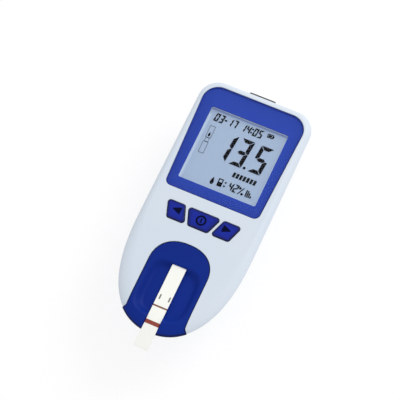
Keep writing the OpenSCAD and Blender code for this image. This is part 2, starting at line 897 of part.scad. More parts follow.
module photodiode() {
    color(metal) post([0, pad_y], diode_d, optics_z, optics_z + diode_h);
}

module sensor_board() {
    color(board_green) block([0, pad_y], [sensor_board_w, sensor_board_len], sensor_board_z, optics_z);
}

// Ribbon from the sensor board's upper side to the main board's underside, drawn from the side
cable_t = 0.3;
cable_w = 8;
cable_lap = 3.5;
cable_bend = 0.5;
module flat_cable() {
    start = -(pad_y + optics_len / 2 + 0.1);
    out = start - 0.9;
    board = -board_nose_y;
    color("wheat") translate([cable_w / 2, 0, 0]) rotate([90, 0, -90]) linear_extrude(cable_w) polygon([
        [start, optics_z], [out, optics_z], [board - cable_bend, board_z - cable_t],
        [board - cable_lap, board_z - cable_t], [board - cable_lap, board_z], [board, board_z],
        [out + cable_t / 3, optics_z + cable_t], [start, optics_z + cable_t]]);
}

nub_d = 3.8;
nub_h = 1;
// A battery lying along the case, with its button towards the display end when way is 1
module battery(x, way) {
    can_len = battery_len - nub_h;
    y0 = way > 0 ? bay_tail_y - contact_t : bay_nose_y + contact_t;
    color("darkslateblue") translate([x, y0, battery_z]) rotate([way > 0 ? 90 : -90, 0, 0]) union() {
        cylinder(d = nub_d, h = nub_h + 0.1);
        translate([0, 0, nub_h]) cylinder(d = battery_d, h = can_len);
    }
}

module battery_left() {
    battery(-battery_pitch, 1);
}

module battery_middle() {
    battery(0, -1);
}

module battery_right() {
    battery(battery_pitch, 1);
}

plate_size = 8;
plate_gap = 0.1;
plate_bottom_z = tongue_z + tongue_t + tongue_play + plate_gap;
plate_drop = 0.3;
module contact_plate(x, y) {
    block([x, y], [plate_size, contact_t], plate_bottom_z, bay_roof_z - plate_drop);
}

module spring_plates() {
    color(metal) {
        for (side = [-1, 1]) contact_plate(side * battery_pitch, bay_nose_y + contact_t / 2);
        contact_plate(0, bay_tail_y - contact_t / 2);
    }
}

module positive_contacts() {
    color(metal) {
        for (side = [-1, 1]) contact_plate(side * battery_pitch, bay_tail_y - contact_t / 2);
        contact_plate(0, bay_nose_y + contact_t / 2);
    }
}

lead_w = 2;
lead_play = 0.7;
lead_places = [[-battery_pitch, bay_tail_y - contact_t / 2], [battery_pitch, bay_nose_y + contact_t / 2]];
module battery_leads() {
    color(metal) for (p = lead_places) block(p, [lead_w, contact_t], bay_roof_z - plate_drop, board_z);
}

// One contact spring: a tube of 6 sides wound round the Y axis
spring_r = 2.6;
spring_turns = 3;
spring_rings = 8;
module contact_spring(x, y0) {
    sides = 6;
    count = spring_turns * spring_rings;
    end_gap = 0.05;
    travel = spring_len - spring_wire - 2 * end_gap;
    function ring_at(k) =
        let (turn = 360 * k / spring_rings, way = [cos(turn), 0, sin(turn)],
            centre = [x, y0 + end_gap + spring_wire / 2 + travel * k / count, battery_z] + spring_r * way)
        [for (i = [0 : sides - 1])
            centre + spring_wire / 2 * (way * cos(360 * i / sides) + [0, sin(360 * i / sides), 0])];
    tube([for (k = [0 : count]) ring_at(k)]);
}

// A tube through rings of points, closed at both ends
module tube(rings) {
    n = len(rings[0]);
    m = len(rings);
    points = [for (ring = rings) each ring];
    walls = [for (k = [0 : m - 2], i = [0 : n - 1])
        let (a = k * n + i, b = k * n + (i + 1) % n)
        each [[a, b, b + n], [a, b + n, a + n]]];
    first = [for (i = [0 : n - 1]) n - 1 - i];
    last = [for (i = [0 : n - 1]) (m - 1) * n + i];
    polyhedron(points = points, faces = concat([first, last], walls));
}

module battery_springs() {
    color(metal) {
        for (side = [-1, 1]) contact_spring(side * battery_pitch, bay_nose_y + contact_t);
        contact_spring(0, bay_tail_y - contact_t - spring_len);
    }
}

cover_w = recess_w - 2 * cover_clear;
cover_len = recess_len - 2 * cover_clear;
cover_nose_y = recess_nose_y + cover_clear;
cover_tail_y = cover_nose_y + cover_len;
tongue_root = 1.2;
module battery_cover() {
    color(case_colour) difference() {
        union() {
            block([0, bay_y], [cover_w, cover_len], base_z, cover_in_z);
            for (side = [-1, 1]) translate([side * tongue_x - tongue_w / 2, 0, 0]) {
                translate([0, cover_nose_y, cover_in_z - 0.1])
                    cube([tongue_w, tongue_root, tongue_z + tongue_t - cover_in_z + 0.1]);
                translate([0, recess_nose_y - tongue_reach, tongue_z])
                    cube([tongue_w, tongue_reach + cover_clear + tongue_root, tongue_t]);
            }
            translate([-latch_w / 2, cover_tail_y - latch_t, cover_in_z - 0.1])
                cube([latch_w, latch_t, latch_h + 0.1]);
        }
        thumb_grip();
    }
}

ridge_w = 0.35;
ridge_pitch = 0.8;
ridge_depth = 0.2;
ridge_inset = 0.7;
module code_chip() {
    color([0.25, 0.25, 0.28]) difference() {
        union() {
            translate([-chip_tongue_w / 2, chip_y0 - chip_tongue_len, chip_z - chip_tongue_t / 2])
                cube([chip_tongue_w, chip_tongue_len + 0.1, chip_tongue_t]);
            translate([-chip_w / 2, chip_y0, chip_z - chip_t / 2])
                cube([chip_w, tail_y + chip_out - chip_y0, chip_t]);
        }
        for (i = [0 : 1]) translate([-chip_w, tail_y + chip_out - ridge_inset - ridge_pitch * i,
            chip_z + chip_t / 2 - ridge_depth])
            cube([2 * chip_w, ridge_w, 1]);
    }
}

module chip_socket() {
    color("ivory") difference() {
        block([0, (socket_y0 + socket_y1) / 2], [socket_w, socket_y1 - socket_y0], board_top_z,
            board_top_z + socket_h);
        translate([-chip_tongue_w / 2 - chip_clear, chip_y0 - chip_tongue_len - chip_clear,
            chip_z - chip_tongue_t / 2 - chip_clear])
            cube([chip_tongue_w + 2 * chip_clear, 2 * slot_len, chip_tongue_t + 2 * chip_clear]);
    }
}

// A pan-head screw with a cross recess, standing head down on the height z
cross_w = 0.5;
cross_share = 0.6;
board_head_d = 3.4;
module screw(place, d, head, z, len) {
    translate([place[0], place[1], z]) difference() {
        union() {
            translate([0, 0, -head_h]) cylinder(d = head, h = head_h);
            cylinder(d = d, h = len);
        }
        for (turn = [0, 90]) rotate(turn) translate([-head * cross_share / 2, -cross_w / 2, -head_h - 1])
            cube([head * cross_share, cross_w, 1 + head_h * cross_share]);
    }
}

module case_screws() {
    color(metal) for (p = case_screw_places) screw(p, screw_d, head_d, seat_z, screw_len);
}

module board_screws() {
    color(metal) for (p = board_screw_places)
        screw(p, board_screw_d, board_head_d, board_z, board_screw_len);
}

module rubber_feet() {
    color(black) for (p = foot_places) post(p, foot_d, 0, base_z + foot_in);
}

top_case();
bottom_case();
display_window();
display_border();
display_glass();
display_reflector();
display_frame();
connector_strips();
main_board();
microcontroller();
amplifier_chip();
memory_chip();
crystal();
board_resistors();
board_capacitors();
buzzer();
left_button();
power_button();
right_button();
left_plunger();
power_plunger();
right_plunger();
key_switches();
strip_tray();
test_strip();
reagent_pad();
optics_block();
optics_window();
measuring_leds();
photodiode();
sensor_board();
flat_cable();
battery_left();
battery_middle();
battery_right();
battery_springs();
positive_contacts();
spring_plates();
battery_leads();
battery_cover();
code_chip();
chip_socket();
case_screws();
board_screws();
rubber_feet();
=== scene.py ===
# %% [markdown]
# # A hand-held blood meter, dressed in Blender
# The real object is a pocket meter that reads a test strip: two pale moulded shells, a blue border behind
# a clear window, three blue buttons and a deep blue strip tray in the nose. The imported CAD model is
# loaded first and never moved. Every new piece is made in millimetres around it, by the boxes of its nodes.

# %% Load the frame
import json
import math

import bmesh
import bpy
import numpy as np
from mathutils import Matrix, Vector

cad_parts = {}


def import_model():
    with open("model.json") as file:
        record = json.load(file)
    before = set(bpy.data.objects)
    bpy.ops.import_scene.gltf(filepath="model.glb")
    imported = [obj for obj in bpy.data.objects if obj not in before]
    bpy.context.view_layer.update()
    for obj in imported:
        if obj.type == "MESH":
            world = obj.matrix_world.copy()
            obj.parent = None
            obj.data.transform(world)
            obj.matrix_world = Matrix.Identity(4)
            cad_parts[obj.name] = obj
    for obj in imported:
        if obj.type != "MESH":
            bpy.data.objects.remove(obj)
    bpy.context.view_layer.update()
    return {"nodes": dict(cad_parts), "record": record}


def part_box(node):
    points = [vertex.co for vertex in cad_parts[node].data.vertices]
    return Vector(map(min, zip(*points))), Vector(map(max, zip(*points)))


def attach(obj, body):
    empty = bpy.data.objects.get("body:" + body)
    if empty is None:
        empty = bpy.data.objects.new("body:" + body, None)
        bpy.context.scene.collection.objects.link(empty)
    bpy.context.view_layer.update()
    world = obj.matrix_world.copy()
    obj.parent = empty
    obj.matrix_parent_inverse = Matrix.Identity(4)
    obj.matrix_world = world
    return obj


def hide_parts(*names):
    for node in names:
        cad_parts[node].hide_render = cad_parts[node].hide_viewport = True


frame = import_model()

MM = 0.001
scene = bpy.context.scene

# %% [markdown]
# The main heights and edges come from the boxes of the CAD nodes, so a new piece lands where the old one is.
# What a box can't tell, such as the curve of the nose, is repeated here as named values, in millimetres.

# %% Sizes read off the frame
def cad_box(node):
    """Lowest and highest corner of a CAD node, in millimetres."""
    low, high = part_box(node)
    return np.array(low) / MM, np.array(high) / MM


window_low, window_high = cad_box("display_window")
border_low, border_high = cad_box("display_border")
rear_low, rear_high = cad_box("bottom_case")
tray_low, tray_high = cad_box("strip_tray")
strip_low, strip_high = cad_box("test_strip")
glass_low, glass_high = cad_box("display_glass")
power_low, power_high = cad_box("power_button")
board_low, board_high = cad_box("main_board")
cell_low, cell_high = cad_box("battery_middle")
chip_low, chip_high = cad_box("code_chip")

face_z = window_high[2]
window_z = window_low[2]
ledge_z = border_low[2]
joint_z = rear_high[2]
base_z = rear_low[2]
half_w = rear_high[0]
tail_y = rear_high[1]
tray_z = tray_low[2]
tray_top_z = tray_high[2]
arch_y = tray_high[1]
board_z, board_top_z = board_low[2], board_high[2]
view_y = (glass_low[1] + glass_high[1]) / 2
view_w, view_h = 39.35, 38.7
view_left, view_up = -0.08, 0.5
print("face at", face_z, "joint at", joint_z, "underside at", base_z, "display at y", round(view_y, 2))

# %% Sizes that the boxes can't tell
case_len = 126.0
nose_y = tail_y - case_len
wall = 2.0
face_t = 2.2
plate_z = face_z - face_t
edge_in = 3.0
corner_r = 10.0
tail_narrowing = 0.3
nose_len, nose_draw = 52.8, 18.0
nose_sweep, sweep_power = 46.8, 1.6
nose_across, nose_along = 2.2, 2.6
side_slope, tail_slope = math.radians(13.5), math.radians(4)
base_r = 3.0

# %% [markdown]
# An outline is an array of points that runs anticlockwise seen from above. Three small functions do most of
# the work: one spaces the points evenly, one rounds the corners of a polygon with arcs, and one moves an
# outline outwards along its own normals. Whole arrays are computed at once, without a loop over vertices.

# %% Outlines
SQUARE = np.array([(-1, -1), (1, -1), (1, 1), (-1, 1)])
ARC_STEPS = 24


def evenly(points, count):
    """A closed outline resampled to count points at equal steps along it, from its first point."""
    loop = np.vstack([points, points[:1]])
    along = np.concatenate([[0], np.cumsum(np.linalg.norm(np.diff(loop, axis=0), axis=1))])
    steps = np.linspace(0, along[-1], count, endpoint=False)
    return np.column_stack([np.interp(steps, along, loop[:, k]) for k in (0, 1)])


def round_turn(count):
    """Equally spaced angles round a full turn."""
    return np.linspace(0, 2 * np.pi, count, endpoint=False)


def unit(angle):
    """The points of the unit circle at some angles."""
    return np.column_stack([np.cos(angle), np.sin(angle)])


def grown(outline, distance):
    """An outline moved outwards: each point goes that far along its tangent turned right by 90 degrees."""
    tangent = np.roll(outline, -1, 0) - np.roll(outline, 1, 0)
    tangent /= np.linalg.norm(tangent, axis=1, keepdims=True)
    return outline + distance * np.column_stack([tangent[:, 1], -tangent[:, 0]])


def rounded(corners, radii, count=240):
    """A polygon with an arc at each corner, centred on the bisector at radius / sin(half the angle)."""
    corners = np.asarray(corners, float)
    arcs = []
    for before, corner, after, radius in zip(np.roll(corners, 1, 0), corners, np.roll(corners, -1, 0), radii):
        u = (before - corner) / np.linalg.norm(before - corner)
        v = (after - corner) / np.linalg.norm(after - corner)
        half = math.acos(np.clip(u @ v, -1, 1)) / 2
        centre = corner + (u + v) / np.linalg.norm(u + v) * radius / math.sin(half)
        first, last = corner + u * radius / math.tan(half), corner + v * radius / math.tan(half)
        start = math.atan2(*(first - centre)[::-1])
        turn = (math.atan2(*(last - centre)[::-1]) - start + math.pi) % (2 * math.pi) - math.pi
        arcs.append(centre + radius * unit(start + turn * np.linspace(0, 1, ARC_STEPS)))
    return evenly(np.vstack(arcs), count)


def corners_of(centre, size):
    """The four corners of a rectangle."""
    return np.asarray(centre) + np.asarray(size) / 2 * SQUARE


def rectangle(centre, size, radius, count=160):
    """A rectangle with four equally rounded corners."""
    return rounded(corners_of(centre, size), [radius] * 4, count)


def circle(centre, diameter, count=64):
    """Points round a circle."""
    return np.asarray(centre) + diameter / 2 * unit(round_turn(count))


# %% [markdown]
# The case is boat-shaped. Seen from the front its nose is a superellipse, x = w sin(a)^(2/2.2) and
# y = m - l cos(a)^(2/2.6), its sides are nearly straight and its display end is square with round corners.
# Below the line where the shells meet, the sides slope in and the nose sweeps back.

# %% The outline of the case at a height
CASE_POINTS, NOSE_STEPS, CORNER_STEPS = 360, 400, 48


def case_outline(z, inset=0.0):
    """Half of the outline is a superellipse, a side and a corner arc; the other half is its mirror image."""
    drop = max(0.0, joint_z - z)
    low = drop / (joint_z - base_z)
    width = half_w - drop * math.tan(side_slope) - inset
    nose = nose_y + nose_sweep * low ** sweep_power + inset
    middle = nose_y + nose_len + nose_draw * low
    tail = tail_y - drop * math.tan(tail_slope) - inset
    radius = max(1.0, corner_r - inset)
    a = np.linspace(0, np.pi / 2, NOSE_STEPS)
    curve = np.column_stack([width * np.sin(a) ** (2 / nose_across),
                             middle - (middle - nose) * np.abs(np.cos(a)) ** (2 / nose_along)])
    centre = np.array([width - tail_narrowing - radius, tail - radius])
    half = np.vstack([curve, centre + radius * unit(np.linspace(0, np.pi / 2, CORNER_STEPS))])
    return evenly(np.vstack([half, half[:0:-1] * (-1, 1)]), CASE_POINTS)


print("outline at the joint:", case_outline(joint_z).min(0).round(2), case_outline(joint_z).max(0).round(2))

# %% [markdown]
# A solid is a stack of outlines with the same number of points. Neighbouring rings are joined by quads and a
# flat face closes each end. Holes with soft lips could be bevelled afterwards, but a bevel often fails where
# edges meet at odd angles. Here the cutter itself flares out like a trumpet, so the lip comes out round.

# %% Solids
QUARTER = np.linspace(0, np.pi / 2, 7)
LIP_LEAN = np.radians(np.linspace(0, 80, 7))
LIP_SPARE = 0.04
THIN = 0.001


def new_piece(name, points, faces):
    """A mesh object from points in millimetres. It stays at the origin, with its place in its mesh."""
    mesh = bpy.data.meshes.new(name)
    mesh.from_pydata((np.asarray(points) * MM).tolist(), [], faces)
    piece = bpy.data.objects.new(name, mesh)
    scene.collection.objects.link(piece)
    return piece


def ring_faces(rows, columns):
    """Quads between neighbouring rings, each ring closed on itself."""
    r, c = np.meshgrid(np.arange(rows - 1), np.arange(columns), indexing="ij")
    a, b = r * columns + c, r * columns + (c + 1) % columns
    return np.stack([a, b, b + columns, a + columns], -1).reshape(-1, 4).tolist()


def level(outline, z):
    """An outline at a height."""
    return np.column_stack([outline, np.full(len(outline), z)])


def loft(name, rings):
    """A closed solid through rings of points, the lowest ring first."""
    rings = np.asarray(rings)
    rows, columns = rings.shape[:2]
    ends = [list(range(columns))[::-1], list(range((rows - 1) * columns, rows * columns))]
    return new_piece(name, rings.reshape(-1, 3), ring_faces(rows, columns) + ends)


def soft_edge(outline, z, radius, way, turns):
    """Rings of a quarter round: inset r (1 - sin t) at r (1 - cos t) above z, or below it where way is -1."""
    return [level(grown(outline, -radius * (1 - math.sin(t))), z + way * radius * (1 - math.cos(t)))
            for t in turns]


def prism(name, outline, low, high, soft_bottom=0.0, soft_top=0.0):
    """An outline carried straight up, with a quarter round of the given radius at either end."""
    foot = QUARTER if soft_bottom else QUARTER[-1:]
    head = QUARTER[::-1] if soft_top else QUARTER[-1:]
    return loft(name, soft_edge(outline, low, soft_bottom, 1, foot)
                + soft_edge(outline, high, soft_top, -1, head))


def opening(name, outline, deep, face, lip):
    """A cutter for a hole with a round lip: out by lip (1 - cos t) at lip (1 - sin t) below the face."""
    way = 1 if face > deep else -1
    rings = [level(outline, deep)]
    rings += [level(grown(outline, lip * (1 - math.cos(t))), face - way * lip * (1 - math.sin(t)))
              for t in LIP_LEAN]
    rise = lip * (1 - math.sin(LIP_LEAN[-1])) + LIP_SPARE
    spread = lip * (1 - math.cos(LIP_LEAN[-1])) + rise * math.tan(LIP_LEAN[-1])
    rings.append(level(grown(outline, spread), face + way * LIP_SPARE))
    return loft(name, rings[::way])


def box(name, centre, size, low, high):
    """A plain block, used as a cutter or a hidden rib."""
    corners = corners_of(centre, size)
    return loft(name, [level(corners, low), level(corners, high)])


def lathe(name, profile, turns=48):
    """A solid of revolution about Z: profile holds (radius, height) pairs, the lowest first."""
    return loft(name, [level(circle((0, 0), 2 * max(r, THIN), turns), z) for r, z in profile])


def points_of(piece):
    """All points of a piece's mesh, in metres."""
    points = np.empty(len(piece.data.vertices) * 3)
    piece.data.vertices.foreach_get("co", points)
    return points.reshape(-1, 3)


def moved(piece, matrix=np.eye(3), by=(0, 0, 0)):
    """Turns a piece's own points by a 3 x 3 matrix, then shifts them, in millimetres."""
    points = points_of(piece) @ np.transpose(matrix) + np.asarray(by) * MM
    piece.data.vertices.foreach_set("co", points.ravel())
    piece.data.update()
    return piece


# %% [markdown]
# Solids are joined and cut with Blender's Boolean modifier, applied at once so that nothing stays live.
# A flat face with curved neighbours shades badly when its corner normals lean. The last step of each piece
# therefore marks the sharp edges and weighs the normals by face area, so that the big flat faces stay flat.

# %% Joining, cutting and shading
WELD = 2e-6


def take_modifiers(piece):
    """Replaces a piece's mesh by what its modifiers make of it."""
    result = bpy.data.meshes.new_from_object(piece.evaluated_get(bpy.context.evaluated_depsgraph_get()))
    old, piece.data = piece.data, result
    bpy.data.meshes.remove(old)
    piece.modifiers.clear()


def combine(piece, operation, *tools):
    """Cuts, joins or crosses a piece with each tool in turn, and deletes the tools."""
    for tool in tools:
        modifier = piece.modifiers.new("combine", "BOOLEAN")
        modifier.operation, modifier.object, modifier.solver = operation, tool, "MANIFOLD"
        take_modifiers(piece)
        bpy.data.meshes.remove(tool.data)
    return piece


def cut(piece, *tools):
    """Takes tools out of a piece."""
    return combine(piece, "DIFFERENCE", *tools)


def join(piece, *tools):
    """Adds tools to a piece."""
    return combine(piece, "UNION", *tools)


def shade(piece, sharp=32):
    """Welds doubles, keeps edges over the sharp angle crisp and smooths the rest by face area."""
    shape = bmesh.new()
    shape.from_mesh(piece.data)
    bmesh.ops.remove_doubles(shape, verts=shape.verts, dist=WELD)
    bmesh.ops.dissolve_degenerate(shape, edges=shape.edges, dist=WELD / 4)
    open_edges = sum(not edge.is_manifold for edge in shape.edges)
    shape.to_mesh(piece.data)
    shape.free()
    piece.data.shade_smooth()
    piece.data.set_sharp_from_angle(angle=math.radians(sharp))
    modifier = piece.modifiers.new("normals", "WEIGHTED_NORMAL")
    modifier.keep_sharp = True
    take_modifiers(piece)
    print(f"{piece.name}: {len(piece.data.polygons)} faces, {open_edges} open edges")
    return piece


# %% [markdown]
# A mesh can carry a value for each of its points, and a finish can read it. That is how painted shade goes
# along an edge that winds round a piece: the value is 1 on the edge's outline and falls to 0 a little inside
# it.

# %% Values on the points of a mesh
def keep_values(piece, label, values):
    """Stores one value for each point of a piece under a label."""
    piece.data.attributes.new(label, "FLOAT", "POINT").data.foreach_set("value", values)


def mark_rim_shade(piece, outlines):
    """Stores "rim", the mask of painted shade along a rim: 1.6 (1 - d / reach) cut to 0..1, d being a point's
    distance from an outline.
    """
    points = points_of(piece)[:, :2] / MM
    rim = np.zeros(len(points))
    for outline, reach in outlines:
        away = np.sqrt(((points[:, None] - outline[None]) ** 2).sum(2).min(1))
        rim = np.maximum(rim, np.clip(1.6 * (1 - away / reach), 0, 1))
    keep_values(piece, "rim", rim)
    print(piece.name, "points on the rim:", int((rim > 0.5).sum()))
    return piece


# %% [markdown]
# Shader maths reads best as plain Python. A small class wraps one output socket of a material's node tree
# and overloads the arithmetic operators, so a line such as 1 - mask * 0.3 adds its Math nodes. Every
# other node comes from its node method: a type, the settings to make first, and what goes into its sockets.

# %% Shader values
class Value:
    """One output socket of a node tree. Arithmetic on it adds Math nodes."""

    def __init__(self, tree, socket):
        self.tree, self.socket = tree, socket

    def node(self, kind, settings=(), inputs=(), output=0):
        """A new node of that kind, as the value of one of its outputs."""
        made = self.tree.nodes.new("ShaderNode" + kind)
        for name, setting in dict(settings).items():
            setattr(made, name, setting)
        for name, given in dict(inputs).items():
            if isinstance(given, Value):
                self.tree.links.new(given.socket, made.inputs[name])
            else:
                made.inputs[name].default_value = given
        return Value(self.tree, made.outputs[output])

    def math(self, operation, *others):
        """A Math node on this value and others, in that order."""
        return self.node("Math", {"operation": operation}, enumerate((self, *others)))

    def __add__(self, other):
        return self.math("ADD", other)

    def __mul__(self, other):
        return self.math("MULTIPLY", other)

    def __sub__(self, other):
        return self.math("SUBTRACT", other)

    def __rsub__(self, other):
        return self.node("Math", {"operation": "SUBTRACT"}, {0: other, 1: self})

    __radd__, __rmul__ = __add__, __mul__

    def step(self, low, high):
        """0 below low, 1 above high, and a smooth ramp between them."""
        return self.node("MapRange", {"interpolation_type": "SMOOTHSTEP"}, {0: self, 1: low, 2: high})

    def between(self, low, high, soft):
        """1 from low to high and 0 outside, with soft edges."""
        return self.step(low - soft, low + soft) * (1 - self.step(high - soft, high + soft))

    def axis(self, letter):
        """One coordinate of a position, in millimetres."""
        return self.node("SeparateXYZ", inputs={0: self}, output="XYZ".index(letter)) * (1 / MM)

    def kept(self, label):
        """The value that the points of a mesh carry under a label."""
        return self.node("Attribute", {"attribute_name": label}, output=2)

    def noise(self, scale, detail, stretch=(1, 1, 1)):
        """Noise of that many cells a metre over this position, about 0.5 on average."""
        place = self.node("Mapping", {"vector_type": "POINT"}, {"Vector": self, "Scale": stretch})
        return self.node("TexNoise", inputs={"Vector": place, "Scale": scale, "Detail": detail})

    def blend(self, low, high):
        """The colour low where this mask is 0 and high where it is 1."""
        given = {"Factor": self, 6: low, 7: high}
        return self.node("Mix", {"data_type": "RGBA"}, given, output=2)


# %% Finishes
MICRON = 1e-6
FINISHES = {}


def colour(red, green, blue):
    """A linear colour from its screen values, 0 to 255: ((c + 0.055) / 1.055)^2.4 for all but the darkest."""
    c = np.array([red, green, blue]) / 255
    linear = np.where(c <= 0.04045, c / 12.92, ((c + 0.055) / 1.055) ** 2.4)
    return (*linear.tolist(), 1.0)


def finish(name, base, roughness, **fixed):
    """Keeps a new material. Gives its Principled shader and the Object coordinates to paint it by."""
    material = FINISHES[name] = bpy.data.materials.new(name)
    material.use_nodes = True
    tree = material.node_tree
    shader = tree.nodes["Principled BSDF"]
    for socket, given in {"Base_Color": base, "Roughness": roughness, **fixed}.items():
        shader.inputs[socket.replace("_", " ")].default_value = given
    return shader, Value(tree, tree.nodes.new("ShaderNodeTexCoord").outputs["Object"])


def drive(shader, **values):
    """Links values to sockets of a shader."""
    for socket, value in values.items():
        value.tree.links.new(value.socket, shader.inputs[socket.replace("_", " ")])


def grain(height, depth):
    """A bump from a height value: depth is in microns from its 0 to its 1."""
    return height.node("Bump", inputs={"Height": height, "Distance": depth * MICRON, "Strength": 1.0})


# %% [markdown]
# ## Pale case plastic
# The shells are moulded in satin plastic of a cold white, nearly blue. A flat colour would look like paper.
# So two close tints drift over it, a fine grain breaks the highlight, and the gloss varies a little.

# %% Case plastic
DRIFT_CELLS, GLOSS_CELLS = 22, 90
GLOSS_SWING = 0.04
RIM_SHADE = 0.85


def moulded(name, base, tint, roughness, cells=2600, depth=12, edge=None, **fixed):
    """Moulded plastic: slow drift between two tints, a fine grain in the bump and an uneven gloss.

    With an edge colour it paints shade where the value "rim" on the mesh is 1, in place of the shadow in a
    rim's gap.
    """
    base, tint = colour(*base), colour(*tint)
    shader, place = finish(name, base, roughness, **fixed)
    paint = place.noise(DRIFT_CELLS, 1).step(0.3, 0.7).blend(base, tint)
    if edge:
        # Painted shade: the edge colour covers the rim, where the gap's shadow would fall.
        paint = (place.kept("rim") * RIM_SHADE).blend(paint, edge)
    gloss = roughness - GLOSS_SWING + 2 * GLOSS_SWING * place.noise(GLOSS_CELLS, 3)
    drive(shader, Base_Color=paint, Roughness=gloss, Normal=grain(place.noise(cells, 3), depth))


moulded("case_plastic", (211, 222, 234), (215, 224, 234), 0.42, Specular_IOR_Level=0.35)
print("case plastic has", len(FINISHES["case_plastic"].node_tree.nodes), "nodes")

# %% [markdown]
# ## Blues
# Three blues meet on the face: the printed border behind the window, the glossy buttons and the deeper satin
# tray. All three carry painted shade at their rims, a navy that stands in for the shadow in the gaps round
# them: the border and the tray by a value on the mesh and the buttons by their height.

# %% Blue plastics
BUTTON_BLUE = colour(8, 34, 149)
PAINTED_SHADE_NAVY = colour(4, 8, 56)
RIM_SHADE_LOW, RIM_SHADE_HIGH = 0.36, 0.52

moulded("border_blue", (36, 65, 166), (38, 68, 171), 0.5, 5000, 2, PAINTED_SHADE_NAVY, Specular_IOR_Level=0.15)
moulded("tray_blue", (2, 38, 131), (4, 41, 137), 0.5, 2200, 10, PAINTED_SHADE_NAVY, Specular_IOR_Level=0.12)
moulded("sign_navy", (1, 4, 40), (2, 6, 46), 0.5, 5000, 1, Specular_IOR_Level=0.05)


def button_plastic():
    """Glossy blue with painted shade: navy on the outer part of the button's rounded rim, where the gap's
    shadow falls.
    """
    shader, place = finish("button_blue", BUTTON_BLUE, 0.3, Specular_IOR_Level=0.2)
    # Painted shade on the lower part of the rim, chosen by height.
    rim = place.axis("Z").step(face_z + RIM_SHADE_LOW, face_z + RIM_SHADE_HIGH)
    drive(shader, Base_Color=rim.blend(PAINTED_SHADE_NAVY, BUTTON_BLUE), Roughness=0.26 + 0.08 * place.noise(120, 3),
          Normal=grain(place.noise(2400, 2), 4))


button_plastic()

# %% [markdown]
# ## The display
# A reflective liquid-crystal cell is a grey-blue mirror that has been frosted: it shows a fine sparkle and
# no picture of the room. Its finish also holds painted light: a faint glow, a painted shadow along the top
# edge and a paler painted seam along the other edges. The digits are drawn as thin solids just above the
# cell, so that they look like real ones, which stand a little above the reflector.

# %% Display finishes
LIT_GREY = colour(164, 181, 205)
PAINTED_EDGE_LIGHT = colour(200, 217, 238)
PAINTED_SHADOW_HALF = 0.7
PANE_TINT = (0.99, 0.995, 1.0, 1.0)
SHINE_STRAIGHT, SHINE_GRAZING = 0.003, 0.3


def display_cell():
    """Frosted grey-blue with a fine sparkle, and painted light: a glow of its own though it is no lamp, a
    painted shadow along the top edge and a paler painted highlight along the other three edges.
    """
    # Painted light: the cell glows a little though it is no lamp, which keeps the border's real shadow faint.
    shader, place = finish("lcd_glass", LIT_GREY, 0.5, Specular_IOR_Level=0.2, Emission_Strength=0.6)
    x, y = place.axis("X"), place.axis("Y") - view_y
    side, top = view_w / 2, view_h / 2
    spark = place.noise(9000, 1).step(0.35, 0.65)
    # Painted shadow: the top edge darkens under the border, in both the base colour and the glow.
    painted_shadow = y.step(top - PAINTED_SHADOW_HALF, top + PAINTED_SHADOW_HALF)
    lit = (spark * 0.3).blend(colour(112, 125, 143), colour(132, 145, 163))
    # Painted highlight: a paler seam along both sides and the lower end, fading out towards the top.
    sides = x.math("ABSOLUTE").step(side - 1.3, side - 0.1)
    low_end = 1 - y.step(0.6 - top, 1.9 - top)
    painted_edge_light = sides.math("MAXIMUM", low_end) * (1 - y.step(top - 3, top - 1))
    drive(shader, Base_Color=painted_shadow.blend(lit, colour(78, 90, 120)), Normal=grain(spark, 3),
          Emission_Color=painted_shadow.blend(painted_edge_light.blend(LIT_GREY, PAINTED_EDGE_LIGHT), colour(116, 132, 176)))


def clear_pane():
    """A thin clear pane: see-through and gloss mixed by straight + grazing (1 - cos t)^5, with smudges."""
    shader, place = finish("clear_window", PANE_TINT, 0.06)
    clear = place.node("BsdfTransparent", inputs={"Color": PANE_TINT})
    grazing = place.node("LayerWeight", inputs={"Blend": 0.5}, output=1).math("POWER", 5.0)
    mix = place.node("MixShader", inputs={0: SHINE_STRAIGHT + SHINE_GRAZING * grazing, 1: clear,
                                          2: Value(place.tree, shader.outputs[0])})
    drive(place.tree.nodes["Material Output"], Surface=mix)
    drive(shader, Roughness=0.05 + 0.08 * place.noise(60, 3).step(0.4, 0.8))


display_cell()
clear_pane()
moulded("segment_ink", (3, 5, 12), (5, 7, 16), 0.6, 6000, 1, Specular_IOR_Level=0.05)

# %% [markdown]
# ## Metal, rubber, boards and the rest
# The pieces inside show only when a cover is off or the tray is out, but each still gets a real surface:
# brushed plate, dusty rubber, solder mask with faint copper tracks, plain printed sleeves.

# %% Hidden finishes
BLACK, WHITE = (0, 0, 0, 1), (1, 1, 1, 1)


def metal(name, base, roughness, stretch=(1, 1, 1)):
    """Plated metal with fine scratches, which are short along an axis of large stretch."""
    shader, place = finish(name, colour(*base), roughness, Metallic=1.0)
    scratch = place.noise(3000, 4, stretch)
    drive(shader, Roughness=roughness - 0.06 + 0.14 * scratch, Normal=grain(scratch, 3))


def rubber(name, base):
    """Matt rubber with a soft grain and a little dust in it."""
    base = colour(*base)
    shader, place = finish(name, base, 0.75)
    dust = place.noise(400, 4).step(0.55, 0.8)
    drive(shader, Base_Color=(dust * 0.25).blend(base, colour(120, 120, 122)),
          Normal=grain(place.noise(4000, 3), 10))


def circuit(name):
    """Green solder mask over copper tracks: a brick pattern of thin lines, seen as a paler green."""
    green = colour(14, 96, 56)
    shader, place = finish(name, green, 0.35, Coat_Weight=0.3, Coat_Roughness=0.15)
    bricks = {"Vector": place, "Scale": 260.0, "Mortar Size": 0.06, "Color1": BLACK, "Color2": BLACK,
              "Mortar": WHITE}
    tracks = place.node("TexBrick", {"offset": 0.5}, bricks, output=1)
    drive(shader, Base_Color=tracks.blend(green, colour(30, 132, 74)), Normal=grain(tracks, 20))


